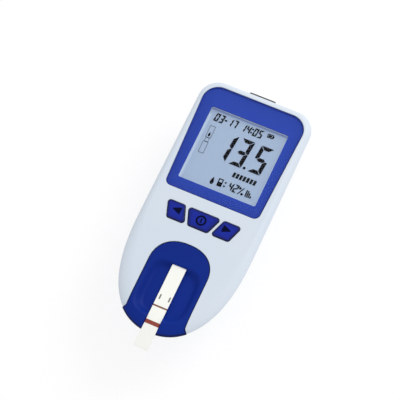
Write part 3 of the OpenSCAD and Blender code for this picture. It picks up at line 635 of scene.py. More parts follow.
metal("reflector_foil", (206, 210, 214), 0.35, (1, 8, 1))
metal("nickel_plate", (200, 196, 188), 0.28, (6, 1, 1))
metal("gold_plate", (212, 170, 96), 0.3, (1, 6, 1))
metal("screw_steel", (168, 170, 172), 0.32)
rubber("connector_rubber", (64, 64, 70))
rubber("foot_rubber", (30, 31, 34))
circuit("circuit_board")
# Each row holds the base colour, the tint and the roughness, and what differs from common plastic.
PLASTICS = {
    "white_plastic": ((236, 236, 231), (230, 231, 228), 0.45, {}),
    "black_plastic": ((24, 24, 27), (30, 30, 33), 0.5, {"depth": 20}),
    "chip_plastic": ((58, 60, 66), (64, 66, 72), 0.5, {"depth": 20}),
    "strip_plastic": ((253, 253, 246), (251, 251, 243), 0.5, {}),
    "cable_film": ((214, 170, 96), (204, 158, 84), 0.3, {}),
    "capacitor_tan": ((196, 160, 110), (188, 150, 100), 0.4, {}),
    "led_epoxy": ((240, 150, 60), (244, 160, 80), 0.15, {"depth": 2}),
    "reagent_membrane": ((238, 222, 212), (230, 210, 200), 0.9, {"cells": 4000, "depth": 40}),
    "battery_sleeve": ((52, 60, 92), (56, 64, 98), 0.28,
                       {"depth": 3, "Coat_Weight": 0.5, "Coat_Roughness": 0.08}),
}
for slot, (base, tint, roughness, further) in PLASTICS.items():
    moulded(slot, base, tint, roughness, **further)

slots = {part["node"]: part["material_slot"] for part in frame["record"]["subparts"]}
for node, piece in frame["nodes"].items():
    piece.data.materials.clear()
    piece.data.materials.append(FINISHES[slots[node]])
print("finished nodes:", len(slots))


# %% Handing a piece to the frame
def settle(piece, body, slot, look=None, replaces=()):
    """Gives a piece its finish and its body, and hides the CAD nodes that it stands for."""
    piece.data.materials.clear()
    piece.data.materials.append(FINISHES[look or slot])
    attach(piece, body)
    if replaces:
        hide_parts(*replaces)


# %% [markdown]
# ## The front shell
# The top half of the case is a shallow tray turned over: a flat face, a rounded edge that runs right round
# it, and a hollow underside. The edge is a quarter ellipse in profile, 3 mm wide at the display and nearly
# 10 mm at the nose. A small round at the joint makes the fine groove that shows where two shells meet.

# %% Shell profiles
edge_h = face_z - joint_z
joint_lip = 0.22
EDGE_STEPS = 22
edge_start_y, edge_growth, edge_ease = 2.0, 0.11, 4.0


def edge_width(y):
    """The width of the rounded edge: 3 mm, and 0.11 mm more for each mm from the buttons to the nose."""
    past = edge_start_y - y
    return edge_in + edge_growth * (past + np.sqrt(past * past + edge_ease ** 2)) / 2


def front_rings(lip):
    """Rings up the front edge: inset w (1 - cos a) at 3.6 sin a above the joint, after a small round."""
    base = case_outline(joint_z)
    width = edge_width(base[:, 1:])
    small = soft_edge(base, joint_z, lip, 1, QUARTER[:-1]) if lip else []
    edge = [level(grown(base, -width * (1 - math.cos(a))), joint_z + edge_h * math.sin(a))
            for a in np.linspace(math.asin(lip / edge_h), np.pi / 2, EDGE_STEPS)]
    return small + edge


border_corners = [(-23.88, border_low[1] - 0.1), (23.78, border_low[1] - 0.1),
                  (25.95, border_high[1] + 0.15), (-26.35, border_high[1] + 0.15)]
border_outline = rounded(border_corners, [3, 3, 8, 8], 360)
view_place = (view_left, view_y + view_up)

# %% [markdown]
# Three buttons sit under the display like keystones: a trapezium in the middle and a slanted one on each
# side. One list of corners gives both the holes in the shell and the caps.

# %% Button outlines
button_clear = 0.1
flange_out, flange_seen = 0.6, 0.45
button_r, button_taller = 1.5, 0.18
button_low_y = power_low[1] + flange_out - button_taller
button_high_y = power_high[1] - flange_out + button_taller


def button_corners(low_left, low_right, high_right, high_left):
    """The corners of a button, by their places along X."""
    return np.array([(low_left, button_low_y), (low_right, button_low_y),
                     (high_right, button_high_y), (high_left, button_high_y)])


right_corners = button_corners(6.34, 15.82, 19.0, 9.76)
BUTTONS = {"left": right_corners[::-1] * (-1, 1), "power": button_corners(-5.11, 5.11, 8.51, -8.51),
           "right": right_corners}
button_outlines = {name: rounded(corners, [button_r] * 4) for name, corners in BUTTONS.items()}
print("buttons from y", round(button_low_y, 2), "to", round(button_high_y, 2))

# %% [markdown]
# The tray is an arch with straight sides that flares out just before the nose, like a shoe horn.

# %% The tray's outline
tray_half_w = 14.78
arch_in, arch_len, arch_power = 0.2, 13.5, 2.3
flare_up, flare_out, flare_soft = 7.2, 2.6, 0.35
past_nose = 6.0
tray_clear = 0.1
SIDE_STEPS, ARCH_STEPS, TRAY_POINTS = 400, 300, 480


def tray_outline(grow=0.0):
    """Sides x = w + f(t) - f(t - 2.6) with f(t) = (t + sqrt(t^2 + s^2)) / 2, under a superellipse."""
    top = arch_y - arch_in
    y = np.linspace(nose_y - past_nose, top - arch_len, SIDE_STEPS)
    t = nose_y + flare_up - y
    bend = [(u + np.sqrt(u * u + flare_soft ** 2)) / 2 for u in (t, t - flare_out)]
    side = np.column_stack([tray_half_w + bend[0] - bend[1], y])
    a = np.linspace(0, np.pi / 2, ARCH_STEPS)[1:]
    arch = np.column_stack([tray_half_w * np.abs(np.cos(a)) ** (2 / arch_power),
                            top - arch_len + arch_len * np.sin(a) ** (2 / arch_power)])
    half = np.vstack([side, arch])
    return grown(evenly(np.vstack([half, half[-2::-1] * (-1, 1)]), TRAY_POINTS), grow)


# %% [markdown]
# The front shell is cut from its outer form as a moulder's core would cut it: the hollow first, then the
# ledge, the tray's pocket and the screw bosses are added back, and last the holes that open in the face.

# %% The front shell's heights and fixings
LAP, PAST = 0.1, 1
shell_gap, hollow_r = 0.2, 0.6
ledge_t, ledge_rim = 1.4, 1.2
ledge_under_z = ledge_z - ledge_t
pocket_z = tray_z - 0.22
pocket_t = 1.5
pocket_under_z = pocket_z - pocket_t
window_gap, hole_r = 0.15, 0.5
recess_lip, hole_lip = 0.3, 0.14
pad_y = arch_y - 5.7
lens_seat_d, lens_hole_d = 8.1, 6
boss_d, board_boss_d = 6, 5
thread_d, thread_len = 2.3, 9.5
board_thread_d, board_thread_len = 1.9, 6.5
boss_end_z = board_z - 0.4
seat_top_z, seat_z = boss_end_z - 0.1, boss_end_z - 2.5


def both_sides(*places):
    """Places at the left and the right of the middle, from those at the right."""
    return [(side * x, y) for side in (-1, 1) for x, y in places]


case_screws = both_sides((13.5, tail_y - 7.1), (17.5, arch_y + 2.9))
board_screws = both_sides((19.5, tail_y - 7.7), (20.5, border_low[1] - 1.7))


def post(place, diameter, low, high):
    """An upright cylinder."""
    return prism("post", circle(place, diameter, 40), low, high)


def posts(places, diameter, low, high):
    """The same cylinder at several places."""
    return [post(place, diameter, low, high) for place in places]


# %% Front shell
def front_shell():
    """The outer loft less its hollow, with ribs added inside and soft-lipped holes cut through the face."""
    shell = loft("front_shell", front_rings(joint_lip))
    cut(shell, prism("hollow", case_outline(joint_z, wall + shell_gap), joint_z - PAST, plate_z, 0, hollow_r))
    pocket = prism("pocket", tray_outline(tray_clear + pocket_t), pocket_under_z, plate_z + LAP)
    reach = case_outline(pocket_under_z - wall, wall + tray_clear)
    combine(pocket, "INTERSECT", prism("reach", reach, pocket_under_z - PAST, face_z))
    join(shell, prism("ledge", grown(border_outline, ledge_rim), ledge_under_z, plate_z + LAP), pocket,
         *posts(case_screws, boss_d, boss_end_z, plate_z + LAP),
         *posts(board_screws, board_boss_d, board_top_z, plate_z + LAP))
    hole = rectangle(view_place, (view_w + 2 * window_gap, view_h + 2 * window_gap), hole_r)
    cut(shell, opening("border_recess", border_outline, ledge_z, face_z, recess_lip),
        prism("display_hole", hole, ledge_under_z - PAST, face_z))
    cut(shell, *[opening("button_hole", outline, plate_z - 2, face_z, hole_lip)
                 for outline in button_outlines.values()])
    cut(shell, opening("tray_room", tray_outline(tray_clear), pocket_z, face_z, hole_lip),
        post((0, pad_y), lens_seat_d, pocket_z - PAST, pocket_z + PAST),
        post((0, pad_y), lens_hole_d, pocket_under_z - PAST, pocket_z))
    cut(shell, *posts(case_screws, thread_d, boss_end_z - PAST, seat_z + thread_len),
        *posts(board_screws, board_thread_d, board_top_z - PAST, board_z + board_thread_len))
    return shade(shell)


settle(front_shell(), "case", "case_plastic", replaces=["top_case"])

# %% [markdown]
# ## The rear shell
# The underside is a boat's hull: a small flat base, sides that slope in and a nose that sweeps back. Each
# height has its own outline, so a plain extrusion can't make it, and the shell is lofted from fifty of them.
# The bay for three cells is a block joined inside, then cut open from below.

# %% The rear shell's heights and places
bay_w, bay_len = 32.9, 49.5
bay_y = tail_y - 12 - bay_len / 2
bay_tail_y, bay_nose_y = bay_y + bay_len / 2, bay_y - bay_len / 2
bay_roof_z, bay_top_z, bay_wall = 13.4, 14.8, 1.8
cover_lap, cover_clear = 1.2, 0.3
cover_in_z = base_z + 1.6
recess_z = cover_in_z + cover_clear
floor_z = base_z + wall
tongue_z = floor_z + cover_clear
tongue_x, tongue_w = 10.0, 6.0
tongue_rise, slot_drop = 2, 0.15
latch_w, latch_h, latch_play = 8.0, 2.6, 0.6
grip_r, grip_depth = 6.0, 1.0
grip_y = bay_tail_y + cover_lap + 2
BALL_TURNS, BALL_ROWS = 64, 33
post_d, well_d, shank_d = 8, 4.8, 2.5
post_in = 0.5
foot_seat_d, foot_seat_depth = 5.7, 0.9
lead_slot, lead_in = (2.7, 1.2), 0.25
feet = both_sides((6.8, tail_y - 7.1), (10.5, bay_nose_y - 7.8))
chip_z, chip_w, chip_t = (chip_low[2] + chip_high[2]) / 2, chip_high[0] - chip_low[0], 3.0
chip_play = 0.6
cell_pitch = 10.85
BASE_STEPS, HULL_STEPS = 9, 35


def rear_rings(inset=0.0, lip=0.0):
    """Rings up the hull. The base edge is a quarter circle: inset 3 (1 - sin t) at height 3 (1 - cos t)."""
    turn = np.linspace(0, np.pi / 2, BASE_STEPS)
    straight = np.linspace(base_r, joint_z - base_z - lip, HULL_STEPS + 1)[1:]
    heights = np.concatenate([base_r * (1 - np.cos(turn)), straight])
    insets = np.concatenate([base_r * (1 - np.sin(turn)), np.zeros(HULL_STEPS)])
    rings = [level(case_outline(base_z + h, inset + i), base_z + h + inset) for h, i in zip(heights, insets)]
    rings += [level(case_outline(joint_z, inset + lip * (1 - math.cos(t))),
                    joint_z + inset - lip * (1 - math.sin(t))) for t in QUARTER[1:] if lip]
    return rings


def thumb_grip():
    """A ball that scoops the thumb grip out of the cover and the shell: radius r sin t at height -r cos t."""
    t = np.linspace(0, np.pi, BALL_ROWS)
    ball = lathe("thumb_grip", np.column_stack([grip_r * np.sin(t), -grip_r * np.cos(t)]), BALL_TURNS)
    return moved(ball, by=(0, grip_y, base_z + grip_depth - grip_r))


# %% Rear shell
def rear_shell():
    """The hull less its hollow, with the cell bay and screw posts inside, and everything that opens below."""
    shell = loft("rear_shell", rear_rings(lip=joint_lip))
    cut(shell, loft("hollow", rear_rings(wall)))
    first, *others = posts(case_screws, post_d, floor_z - LAP, seat_top_z)
    combine(join(first, *others), "INTERSECT", loft("hull", rear_rings(post_in)))
    bay = (bay_w + 2 * bay_wall, bay_len + 2 * bay_wall)
    join(shell, box("bay", (0, bay_y), bay, base_z + wall / 2, bay_top_z), first)
    recess = rectangle((0, bay_y), (bay_w + 2 * cover_lap, bay_len + 2 * cover_lap), 1.0)
    cut(shell, box("cells", (0, bay_y), (bay_w, bay_len), -PAST, bay_roof_z),
        opening("cover_recess", recess, recess_z, base_z, 0.25))
    for side in (-1, 1):
        slot = (tongue_w + 2 * cover_clear, bay_wall + 1)
        cut(shell, box("tongue_slot", (side * tongue_x, bay_nose_y - bay_wall / 2), slot,
                       floor_z - slot_drop, tongue_z + tongue_rise))
    cut(shell, box("latch_slot", (0, bay_tail_y + bay_wall / 2), (latch_w + 2 * latch_play, bay_wall + 1),
                   recess_z - LAP, cover_in_z + latch_h + 0.7), thumb_grip())
    cut(shell, *posts(case_screws, well_d, -PAST, seat_z),
        *posts(case_screws, shank_d, seat_z - PAST, seat_top_z + PAST))
    cut(shell, *[opening("foot_seat", circle(p, foot_seat_d), base_z + foot_seat_depth, base_z, 0.1)
                 for p in feet])
    cut(shell, *[box("lead_slot", place, lead_slot, bay_roof_z - LAP, bay_top_z + LAP)
                 for place in ((-cell_pitch, bay_tail_y - lead_in), (cell_pitch, bay_nose_y + lead_in))])
    cut(shell, prism("tray_room", tray_outline(tray_clear), pocket_z, face_z))
    chip_slot = rectangle((0, chip_z), (chip_w + chip_play, chip_t + chip_play), 0.6)
    swap_y_z = [[1, 0, 0], [0, 0, 1], [0, 1, 0]]
    through = loft("chip_slot", [level(chip_slot[::-1], z) for z in (tail_y - 6, tail_y + 2)])
    cut(shell, moved(through, swap_y_z))
    return shade(shell)


settle(rear_shell(), "case", "case_plastic", replaces=["bottom_case"])

# %% [markdown]
# ## Window, border and display
# Under the face lie three layers: a clear window flush with it, a blue border frame, and 2 mm deeper the
# display. The depth matters, because the border then throws a soft shadow on the display's upper edge, which
# the display's finish deepens with a painted shadow.

# %% Window and border
HAIR = 0.02
frame_play, pane_in = 0.05, 0.3
frame_down = 0.2
frame_outline = grown(border_outline, -frame_play)
pane_outline = grown(border_outline, -pane_in)


def border_frame():
    """A flat frame with a thin rim round the window's edge and a softly rounded opening for the display."""
    made = prism("border_frame", frame_outline, ledge_z, face_z - frame_down)
    cut(made, prism("pane_seat", grown(pane_outline, 0.01), window_z - HAIR, face_z),
        opening("view", rectangle(view_place, (view_w, view_h), 0.4), ledge_z - PAST, window_z - HAIR, 0.15))
    # The rim value marks painted shade round the frame's outer edge.
    return mark_rim_shade(shade(made), [(frame_outline, 0.26)])


pane = shade(prism("window_pane", pane_outline, window_z + HAIR, face_z - HAIR, 0, 0.15))
settle(pane, "case", "clear_window", replaces=["display_window"])
settle(border_frame(), "case", "border_blue", replaces=["display_border"])

# %% Display cell
cell_top_z = glass_high[2] - 0.45
front_glass_z = glass_high[2] - 0.2
glass_outline = rectangle((0, view_y), glass_high[:2] - glass_low[:2], 0.3)
for name, low, high, slot in (("display_cell", glass_low[2], cell_top_z, "lcd_glass"),
                              ("display_front_glass", front_glass_z, glass_high[2], "clear_window")):
    settle(shade(prism(name, glass_outline, low, high)), "case", slot, replaces=["display_glass"])

# %% [markdown]
# The figures are seven-segment bars. Each bar is a polygon with mitred ends, drawn in a cell w wide and
# h high and sheared to the right. All the bars go into one mesh as thin prisms under the front glass.

# %% Flat figures
def pulled_in(corners, gap):
    """A convex polygon with every side moved in by gap: each corner goes (n1 + n2) gap / (1 + n1.n2)."""
    corners = np.asarray(corners, float)
    side = np.roll(corners, -1, 0) - corners
    side /= np.linalg.norm(side, axis=1, keepdims=True)
    after = np.column_stack([side[:, 1], -side[:, 0]])
    before = np.roll(after, 1, 0)
    return corners - (before + after) * gap / (1 + (before * after).sum(1, keepdims=True))


def sheared(points, lean, x, y):
    """Points leaned to the right by tan(lean) times their height, then shifted."""
    return np.asarray(points) @ np.array([[1, 0], [math.tan(lean), 1]]) + (x, y)


def plates(name, outlines, low, high):
    """One mesh with a flat prism on each outline."""
    points, faces, first = [], [], 0
    for outline in outlines:
        count = len(outline)
        points += [level(outline, low), level(outline, high)]
        faces += (np.array(ring_faces(2, count)) + first).tolist()
        faces += [[first + k for k in range(count)][::-1], [first + count + k for k in range(count)]]
        first += 2 * count
    return new_piece(name, np.vstack(points), faces)


BARS = {"0": "abcdef", "1": "bc", "2": "abged", "3": "abgcd", "4": "fgbc", "5": "afgcd", "7": "abc"}


def figure(symbol, x, y, w, h, t, gap, lean):
    """The mitred bars of one figure in a w by h cell with stroke t, each drawn in by gap."""
    m, s = h / 2, t / 2
    shapes = {"a": [(t, h - t), (w - t, h - t), (w, h), (0, h)],
              "b": [(w - t, h - t), (w - t, m + s), (w - s, m), (w, m), (w, h)],
              "c": [(w - t, m - s), (w - t, t), (w, 0), (w, m), (w - s, m)],
              "d": [(0, 0), (w, 0), (w - t, t), (t, t)],
              "g": [(s, m), (t, m - s), (w - t, m - s), (w - s, m), (w - t, m + s), (t, m + s)]}
    for left, right in ("fb", "ec"):
        shapes[left] = [(w - u, v) for u, v in shapes[right][::-1]]
    return [sheared(pulled_in(shapes[name], gap), lean, x, y) for name in BARS[symbol]]


def block(x, y, w, h, lean=0.0):
    """A plain block that may lean, for a point or an icon."""
    return sheared([(0, 0), (w, 0), (w, h), (0, h)], lean, x, y)


# %% What the display shows
ink_low_z, ink_high_z = front_glass_z - 0.08, front_glass_z - 0.01
LEAN = math.radians(5)
BIG = (6.75, 14.8, 2.2, 0.15, LEAN)
SMALL = (2.15, 4.3, 0.8, 0.03, math.radians(8))
ADVANCE = {"-": 1.9, ":": 1.1}
DIGIT_ADVANCE = 2.5
dash_w, colon_back = 1.1, 0.1
colon_low, colon_high = 0.2, 0.62
reading_y, clock_y, share_y = -3.2, 14.1, -15.5


def line_of(text, x, y, w, h, t, gap, lean):
    """The bars of a line of small figures, with a dash or a colon as narrow cells."""
    outlines = []
    for symbol in text:
        if symbol == ":":
            outlines += [block(x + h * u * math.tan(lean) - colon_back, y + h * u, t, t, lean)
                         for u in (colon_low, colon_high)]
        elif symbol == "-":
            outlines.append(block(x + 0.5 * h * math.tan(lean), y + 0.5 * h - t / 2, dash_w, t, lean))
        else:
            outlines += figure(symbol, x, y, w, h, t, gap, lean)
        x += ADVANCE.get(symbol, DIGIT_ADVANCE)
    return outlines


def show(name, outlines):
    """Puts outlines, drawn about the middle of the display, on it as one mesh of ink."""
    piece = plates(name, [outline + (0, view_y) for outline in outlines], ink_low_z, ink_high_z)
    settle(shade(piece), "case", "lcd_glass", "segment_ink")
    print(name, "has", len(outlines), "outlines")


reading = [*figure("1", -9.75, reading_y, *BIG), *figure("3", -1.6, reading_y, *BIG),
           circle((6.6, reading_y + 0.85), 1.4, 24), *figure("5", 8.2, reading_y, *BIG)]
clock = line_of("03-17", -17.1, clock_y, *SMALL) + line_of("14:05", -3.3, clock_y, *SMALL)
show("display_digits", reading + clock + line_of("42", 3.4, share_y, *SMALL))


# %% Icons of the display
DROP_POINTS = 40


def box_lines(x, y, w, h, t):
    """Four thin strips round a rectangle, a hair apart so that they don't share an edge."""
    low, high = y + t + HAIR / 2, h - 2 * t - HAIR
    return [block(x, y, w, t), block(x, y + h - t, w, t), block(x, low, t, high),
            block(x + w - t, low, t, high)]


def drop(x, y, size):
    """A drop: x = sin(a) sin(a/2)^1.5, y = -cos(a), so that it narrows to a point at the top."""
    a = round_turn(DROP_POINTS) + np.pi
    width = -np.sin(a) * np.abs(np.sin(a / 2)) ** 1.5 * 0.62
    return np.column_stack([width, np.cos(a)])[::-1] * size + (x, y)


battery_icon = [*box_lines(9.9, 16.1, 2.9, 2.1, 0.42), block(12.8, 16.65, 0.5, 1.0),
                block(10.5, 16.65, 1.6, 1.0)]
strip_icon = [*box_lines(-16.9, -3.2, 2.7, 6.1, 0.16), *box_lines(-16.5, 2.9, 1.9, 2.2, 0.16),
              *box_lines(-16.9, 5.1, 2.7, 6.3, 0.16), drop(-15.55, 7.0, 1.25)]
level_bar = [block(3.0 + 1.75 * k, -8.6, 1.25, 2.5, LEAN) for k in range(7)]
tube_icon = [*box_lines(-1.9, -15.4, 2.4, 4.0, 0.5), block(-1.39, -14.89, 1.38, 1.7)]
colon = [block(1.3, -14.8, 0.8, 0.8), block(1.4, -12.9, 0.8, 0.8)]
percent = [circle((9.2, -12.3), 1.25, 16), circle((10.9, -14.8), 1.25, 16),
           block(8.7, -15.4, 0.55, 3.8, math.radians(28))]
fan_icon = [block(12.4 + 0.85 * k, -15.3, 0.62, 3.5 - 0.25 * k * k) for k in range(4)]
show("display_icons", [*battery_icon, *strip_icon, *level_bar, drop(-4.5, -13.7, 2.0), *tube_icon, *colon,
                       *percent, *fan_icon])

# %% [markdown]
# ## Buttons
# Each button is a keystone of glossy plastic that stands 0.6 mm above the face, on a flange that keeps it in
# and a stem that reaches down to its switch. Its rim is a quarter circle and its top is slightly crowned, so
# that a reflection slides over it. The signs are thin plates on the caps, so they travel with them.

# %% Button caps
flange_top_z = plate_z - 0.15
flange_z = flange_top_z - 1.0
button_y = (button_low_y + button_high_y) / 2
button_top_z = power_high[2]
cap_top_z = button_top_z - 0.04
bevel, crown = 0.55, 0.13
stem_d = 4.2
CROWN_STEPS = np.linspace(0.96, 0.04, 12)
plunger_low, plunger_high = cad_box("right_plunger")
side_button_x = (plunger_low[0] + plunger_high[0]) / 2
stems = {"left": -side_button_x, "power": 0.0, "right": side_button_x}


def crowned(outline, top, rise, steps):
    """Rings over an outline whose height is top - rise s^2, s being how far a ring shrinks to its middle."""
    middle = outline.mean(0)
    return [level(middle + (outline - middle) * s, top - rise * s * s) for s in steps]


def button_cap(name, outline, stem_x):
    """A keystone with a rounded rim and a crowned top, on its flange and stem."""
    edge = grown(outline, -button_clear)
    rings = [level(edge, flange_z + 0.5)] + soft_edge(edge, cap_top_z - crown, bevel, -1, QUARTER[::-1])
    cap = loft(name, rings + crowned(rings[-1][:, :2], cap_top_z, crown, CROWN_STEPS))
    join(cap, prism("flange", grown(outline, flange_seen), flange_z, flange_top_z),
         prism("stem", circle((stem_x, button_y), stem_d), power_low[2], flange_z + LAP))
    return shade(cap, 40)


for key, outline in button_outlines.items():
    settle(button_cap(f"{key}_key_cap", outline, stems[key]), f"{key}_key", "button_blue",
           replaces=[f"{key}_button"])


# %% Signs on the buttons
sign_low_z = button_top_z - 0.22
ring_y, ring_d, ring_hole_d = button_y + 0.1, 5.1, 3.4
arrow = rounded([(-2.2, -1.9), (2.3, 0), (-2.2, 1.9)], [0.3] * 3, 60) + (0, button_y + 0.6)
SIGNS = {"left": arrow[::-1] * (-1, 1) + (-side_button_x - 0.15, 0),
         "power": block(-0.35, button_y - 1.1, 0.7, 2.4),
         "right": arrow + (side_button_x + 0.2, 0)}
for key, outline in SIGNS.items():
    sign = plates(f"{key}_key_sign", [outline], sign_low_z, button_top_z)
    if key == "power":
        ring = post((0, ring_y), ring_d, sign_low_z, button_top_z)
        join(sign, cut(ring, post((0, ring_y), ring_hole_d, sign_low_z - PAST, button_top_z + PAST)))
    settle(shade(sign), f"{key}_key", "button_blue", "sign_navy")

# %% [markdown]
# ## Strip tray
# The tray lifts out of the nose for cleaning. A dish in it guides a fingertip to the strip, and a channel
# holds the strip and runs on under the bridge, over the optics. Its front end is trimmed by the outlines of
# the case, grown a little, so it follows the case and stands just proud of it.

# %% Tray
strip_w = strip_high[0] - strip_low[0]
channel_w = strip_w + 0.9
channel_y = arch_y - 11.4
channel_z = tray_top_z - 1.7
slot_h, slot_past = 0.6, 0.3
light_hole_d = 5
dish_depth, dish_crown, dish_power = 2.8, 0.3, 4.0
dish_floor_z = tray_top_z - dish_depth
nose_proud = 0.35
DISH_RIM = (14.0, channel_y + 1.2, nose_y + 5.6)
DISH_FLOOR = (9.4, channel_y - 2.2, nose_y + 10.0)
DISH_POINTS = 192
FLOOR_STEPS, WALL_STEPS = np.linspace(0.02, 0.97, 16), np.linspace(1, 0, 22)[:-1]


def superellipse(half_w, high_y, low_y, power):
    """In the direction t from its middle the outline is at r = (|cos t / w|^p + |sin t / l|^p)^(-1 / p)."""
    way = unit(round_turn(DISH_POINTS))
    middle, half_size = (0, (high_y + low_y) / 2), (half_w, (high_y - low_y) / 2)
    r = (np.abs(way / half_size) ** power).sum(1, keepdims=True) ** (-1 / power)
    return middle + r * way


def dish(name):
    """A cutter: walls that fall as depth (1 - cos(pi u)) / 2 from the rim to a crowned floor."""
    rim, foot = superellipse(*DISH_RIM, dish_power), superellipse(*DISH_FLOOR, dish_power)
    base = crowned(foot, dish_floor_z + dish_crown, dish_crown, FLOOR_STEPS)
    walls = [level(foot + (rim - foot) * (1 - u), tray_top_z - dish_depth * (1 - math.cos(math.pi * u)) / 2)
             for u in WALL_STEPS]
    return loft(name, base + walls + [level(rim, tray_top_z + THIN), level(rim, tray_top_z + 0.5)])


def from_nose(name, width, to_y, low, high):
    """A block along the middle, from past the nose to a place on Y."""
    end = nose_y - past_nose
    return box(name, (0, (to_y + end) / 2), (width, to_y - end), low, high)


def tray_body():
    """The arch with soft rims, trimmed to the case, less the dish, the channel, slot and light hole."""
    tray = prism("tray_body", tray_outline(), tray_z, tray_top_z, 0.3, 0.5)
    below = [level(case_outline(z), z) for z in np.linspace(tray_z - PAST, joint_z, 8)]
    form = np.array(below + front_rings(0)[1:])
    form[:, :, :2] = [grown(ring, nose_proud) for ring in form[:, :, :2]]
    combine(tray, "INTERSECT", loft("case_form", form))
    cut(tray, dish("dish"))
    join(tray, box("rail", (0, (DISH_RIM[1] + DISH_RIM[2]) / 2), (strip_w - 1, DISH_RIM[1] - DISH_RIM[2] + 1),
                   dish_floor_z - 1, channel_z + 0.2))
    cut(tray, from_nose("channel", channel_w, channel_y, channel_z, face_z),
        from_nose("slot", channel_w, strip_high[1] + slot_past, channel_z, channel_z + slot_h),
        post((0, pad_y), light_hole_d, tray_z - PAST, channel_z + LAP))
    nose = grown(case_outline(joint_z), nose_proud)
    front = nose[nose[:, 1] < nose_y + flare_up - 0.5]
    # The rim value marks painted shade round the tray's edge and along its front at the nose.
    return mark_rim_shade(shade(tray, 34), [(tray_outline(), 0.52), (front, 0.9)])


settle(tray_body(), "tray", "tray_blue", replaces=["strip_tray"])

# %% [markdown]
# The strip is a card of cream plastic. Its printed marks, two ticks, a thin brown line and a red band, are
# masks on Object coordinates in its own finish, so they stay where they are printed when the strip slides.

# %% Test strip
TICKS = ((-2.1, -42.7), (2.5, -42.5))
TICK_W, TICK_H = 0.72, 2.5
LINE_Y, LINE_W = -47.3, 0.85
BAND_Y, BAND_W = -55.6, 2.0
CREAM = colour(253, 253, 247)


def printed_strip():
    """Cream plastic, a little greyer past the band, with the marks as products of soft bars along X and Y."""
    shader, place = finish("printed_strip", CREAM, 0.5, Specular_IOR_Level=0.25)

    def bar(letter, middle, size, soft):
        """1 on a soft bar of that size about a place on an axis."""
        return place.axis(letter).between(middle - size / 2, middle + size / 2, soft)

    fibre = place.noise(700, 3, (1, 0.3, 1))
    card = place.noise(60, 2).step(0.3, 0.7).blend(CREAM, colour(250, 251, 244))
    card = (1 - place.axis("Y").step(BAND_Y - 1.5, BAND_Y - 0.5)).blend(card, colour(245, 246, 240))
    ticks = sum((bar("X", x, TICK_W, 0.15) * bar("Y", y, TICK_H, 0.2) for x, y in TICKS), start=0)
    card = (ticks * 0.9).blend(card, colour(96, 92, 84))
    card = (bar("Y", LINE_Y, LINE_W, 0.1) * (0.85 + 0.15 * fibre)).blend(card, colour(120, 64, 38))
    card = (bar("Y", BAND_Y, BAND_W, 0.1) * (0.95 + 0.05 * fibre)).blend(card, colour(138, 46, 32))
    drive(shader, Base_Color=card, Roughness=0.45 + 0.1 * fibre, Normal=grain(place.noise(3000, 2), 6))


def strip_card():
    """A thin card with soft edges and a square hole for the reagent pad."""
    middle = (strip_low[1] + strip_high[1]) / 2
    outline = rectangle((0, middle), (strip_w, strip_high[1] - strip_low[1]), 0.25, 240)
    card = prism("strip_card", outline, strip_low[2], strip_high[2], 0.08, 0.1)
    return shade(cut(card, box("pad_hole", (0, pad_y), (4, 4), strip_low[2] - PAST, strip_low[2] + 0.4)))


printed_strip()
settle(strip_card(), "strip", "strip_plastic", "printed_strip", replaces=["test_strip"])

# %% [markdown]
# ## Underside pieces
# The battery cover is a flat door with two hooks and a springy latch, and soft edges all round. The feet are
# lathe-turned: a rubber button with a rounded rim.

# %% Battery cover
hook_len, hook_out, hook_root = 3.1, 0.35, 1.2
latch_t = 0.8
groove_in, groove_step, groove_w, groove_shrink = 6, 2.2, 14, 2.5


def cover_door():
    """The door with hooks and latch, soft on its outer side, with a thumb scoop and three grip lines."""
    nose = bay_nose_y - cover_lap + cover_clear
    tail = nose + bay_len + 2 * cover_lap - 2 * cover_clear
    outline = rectangle((0, (nose + tail) / 2), (bay_w + 2 * (cover_lap - cover_clear), tail - nose), 0.7)
    door = prism("battery_door", outline, base_z, cover_in_z, 0.3, 0.1)
    for x in (-tongue_x, tongue_x):
        join(door, box("hook_root", (x, nose + hook_root / 2), (tongue_w, hook_root), cover_in_z - 0.2,
                       tongue_z + 1),
             box("hook", (x, nose - hook_out), (tongue_w, hook_len), tongue_z, tongue_z + 1))
    join(door, box("latch", (0, tail - latch_t / 2), (latch_w, latch_t), cover_in_z - 0.2,
                   cover_in_z + latch_h))
    cut(door, thumb_grip())
    for k in range(3):
        size = (groove_w - groove_shrink * k, 0.9)
        groove = rectangle((0, tail - groove_in - groove_step * k), size, 0.44)
        cut(door, opening("groove", groove, base_z + 0.35, base_z, 0.2))
    return shade(door)


settle(cover_door(), "cover", "case_plastic", replaces=["battery_cover"])

# %% Feet
foot_r, foot_h, foot_soft = 2.8, 1.5, 0.35


def feet_piece():
    """Four rubber buttons: radius 2.8 with a rim rounded by 0.35 at the bottom."""
    rim = [(foot_r - foot_soft * (1 - math.sin(a)), foot_soft * (1 - math.cos(a))) for a in QUARTER]
    profile = [(0, 0), *rim, (foot_r, foot_h), (0, foot_h)]
    first, *others = [moved(lathe("foot_pads", profile), by=(*place, 0)) for place in feet]
    return shade(join(first, *others))


settle(feet_piece(), "case", "foot_rubber", replaces=["rubber_feet"])

# %% Code chip
grip_x, grip_z, grip_size = -0.6, chip_z + 0.35, np.array([chip_w + 0.3, chip_t + 1.65])
grip_soft, grip_corner_r = 0.3, 0.6
GRIP_TURNS = np.linspace(0, np.pi / 2, 6)


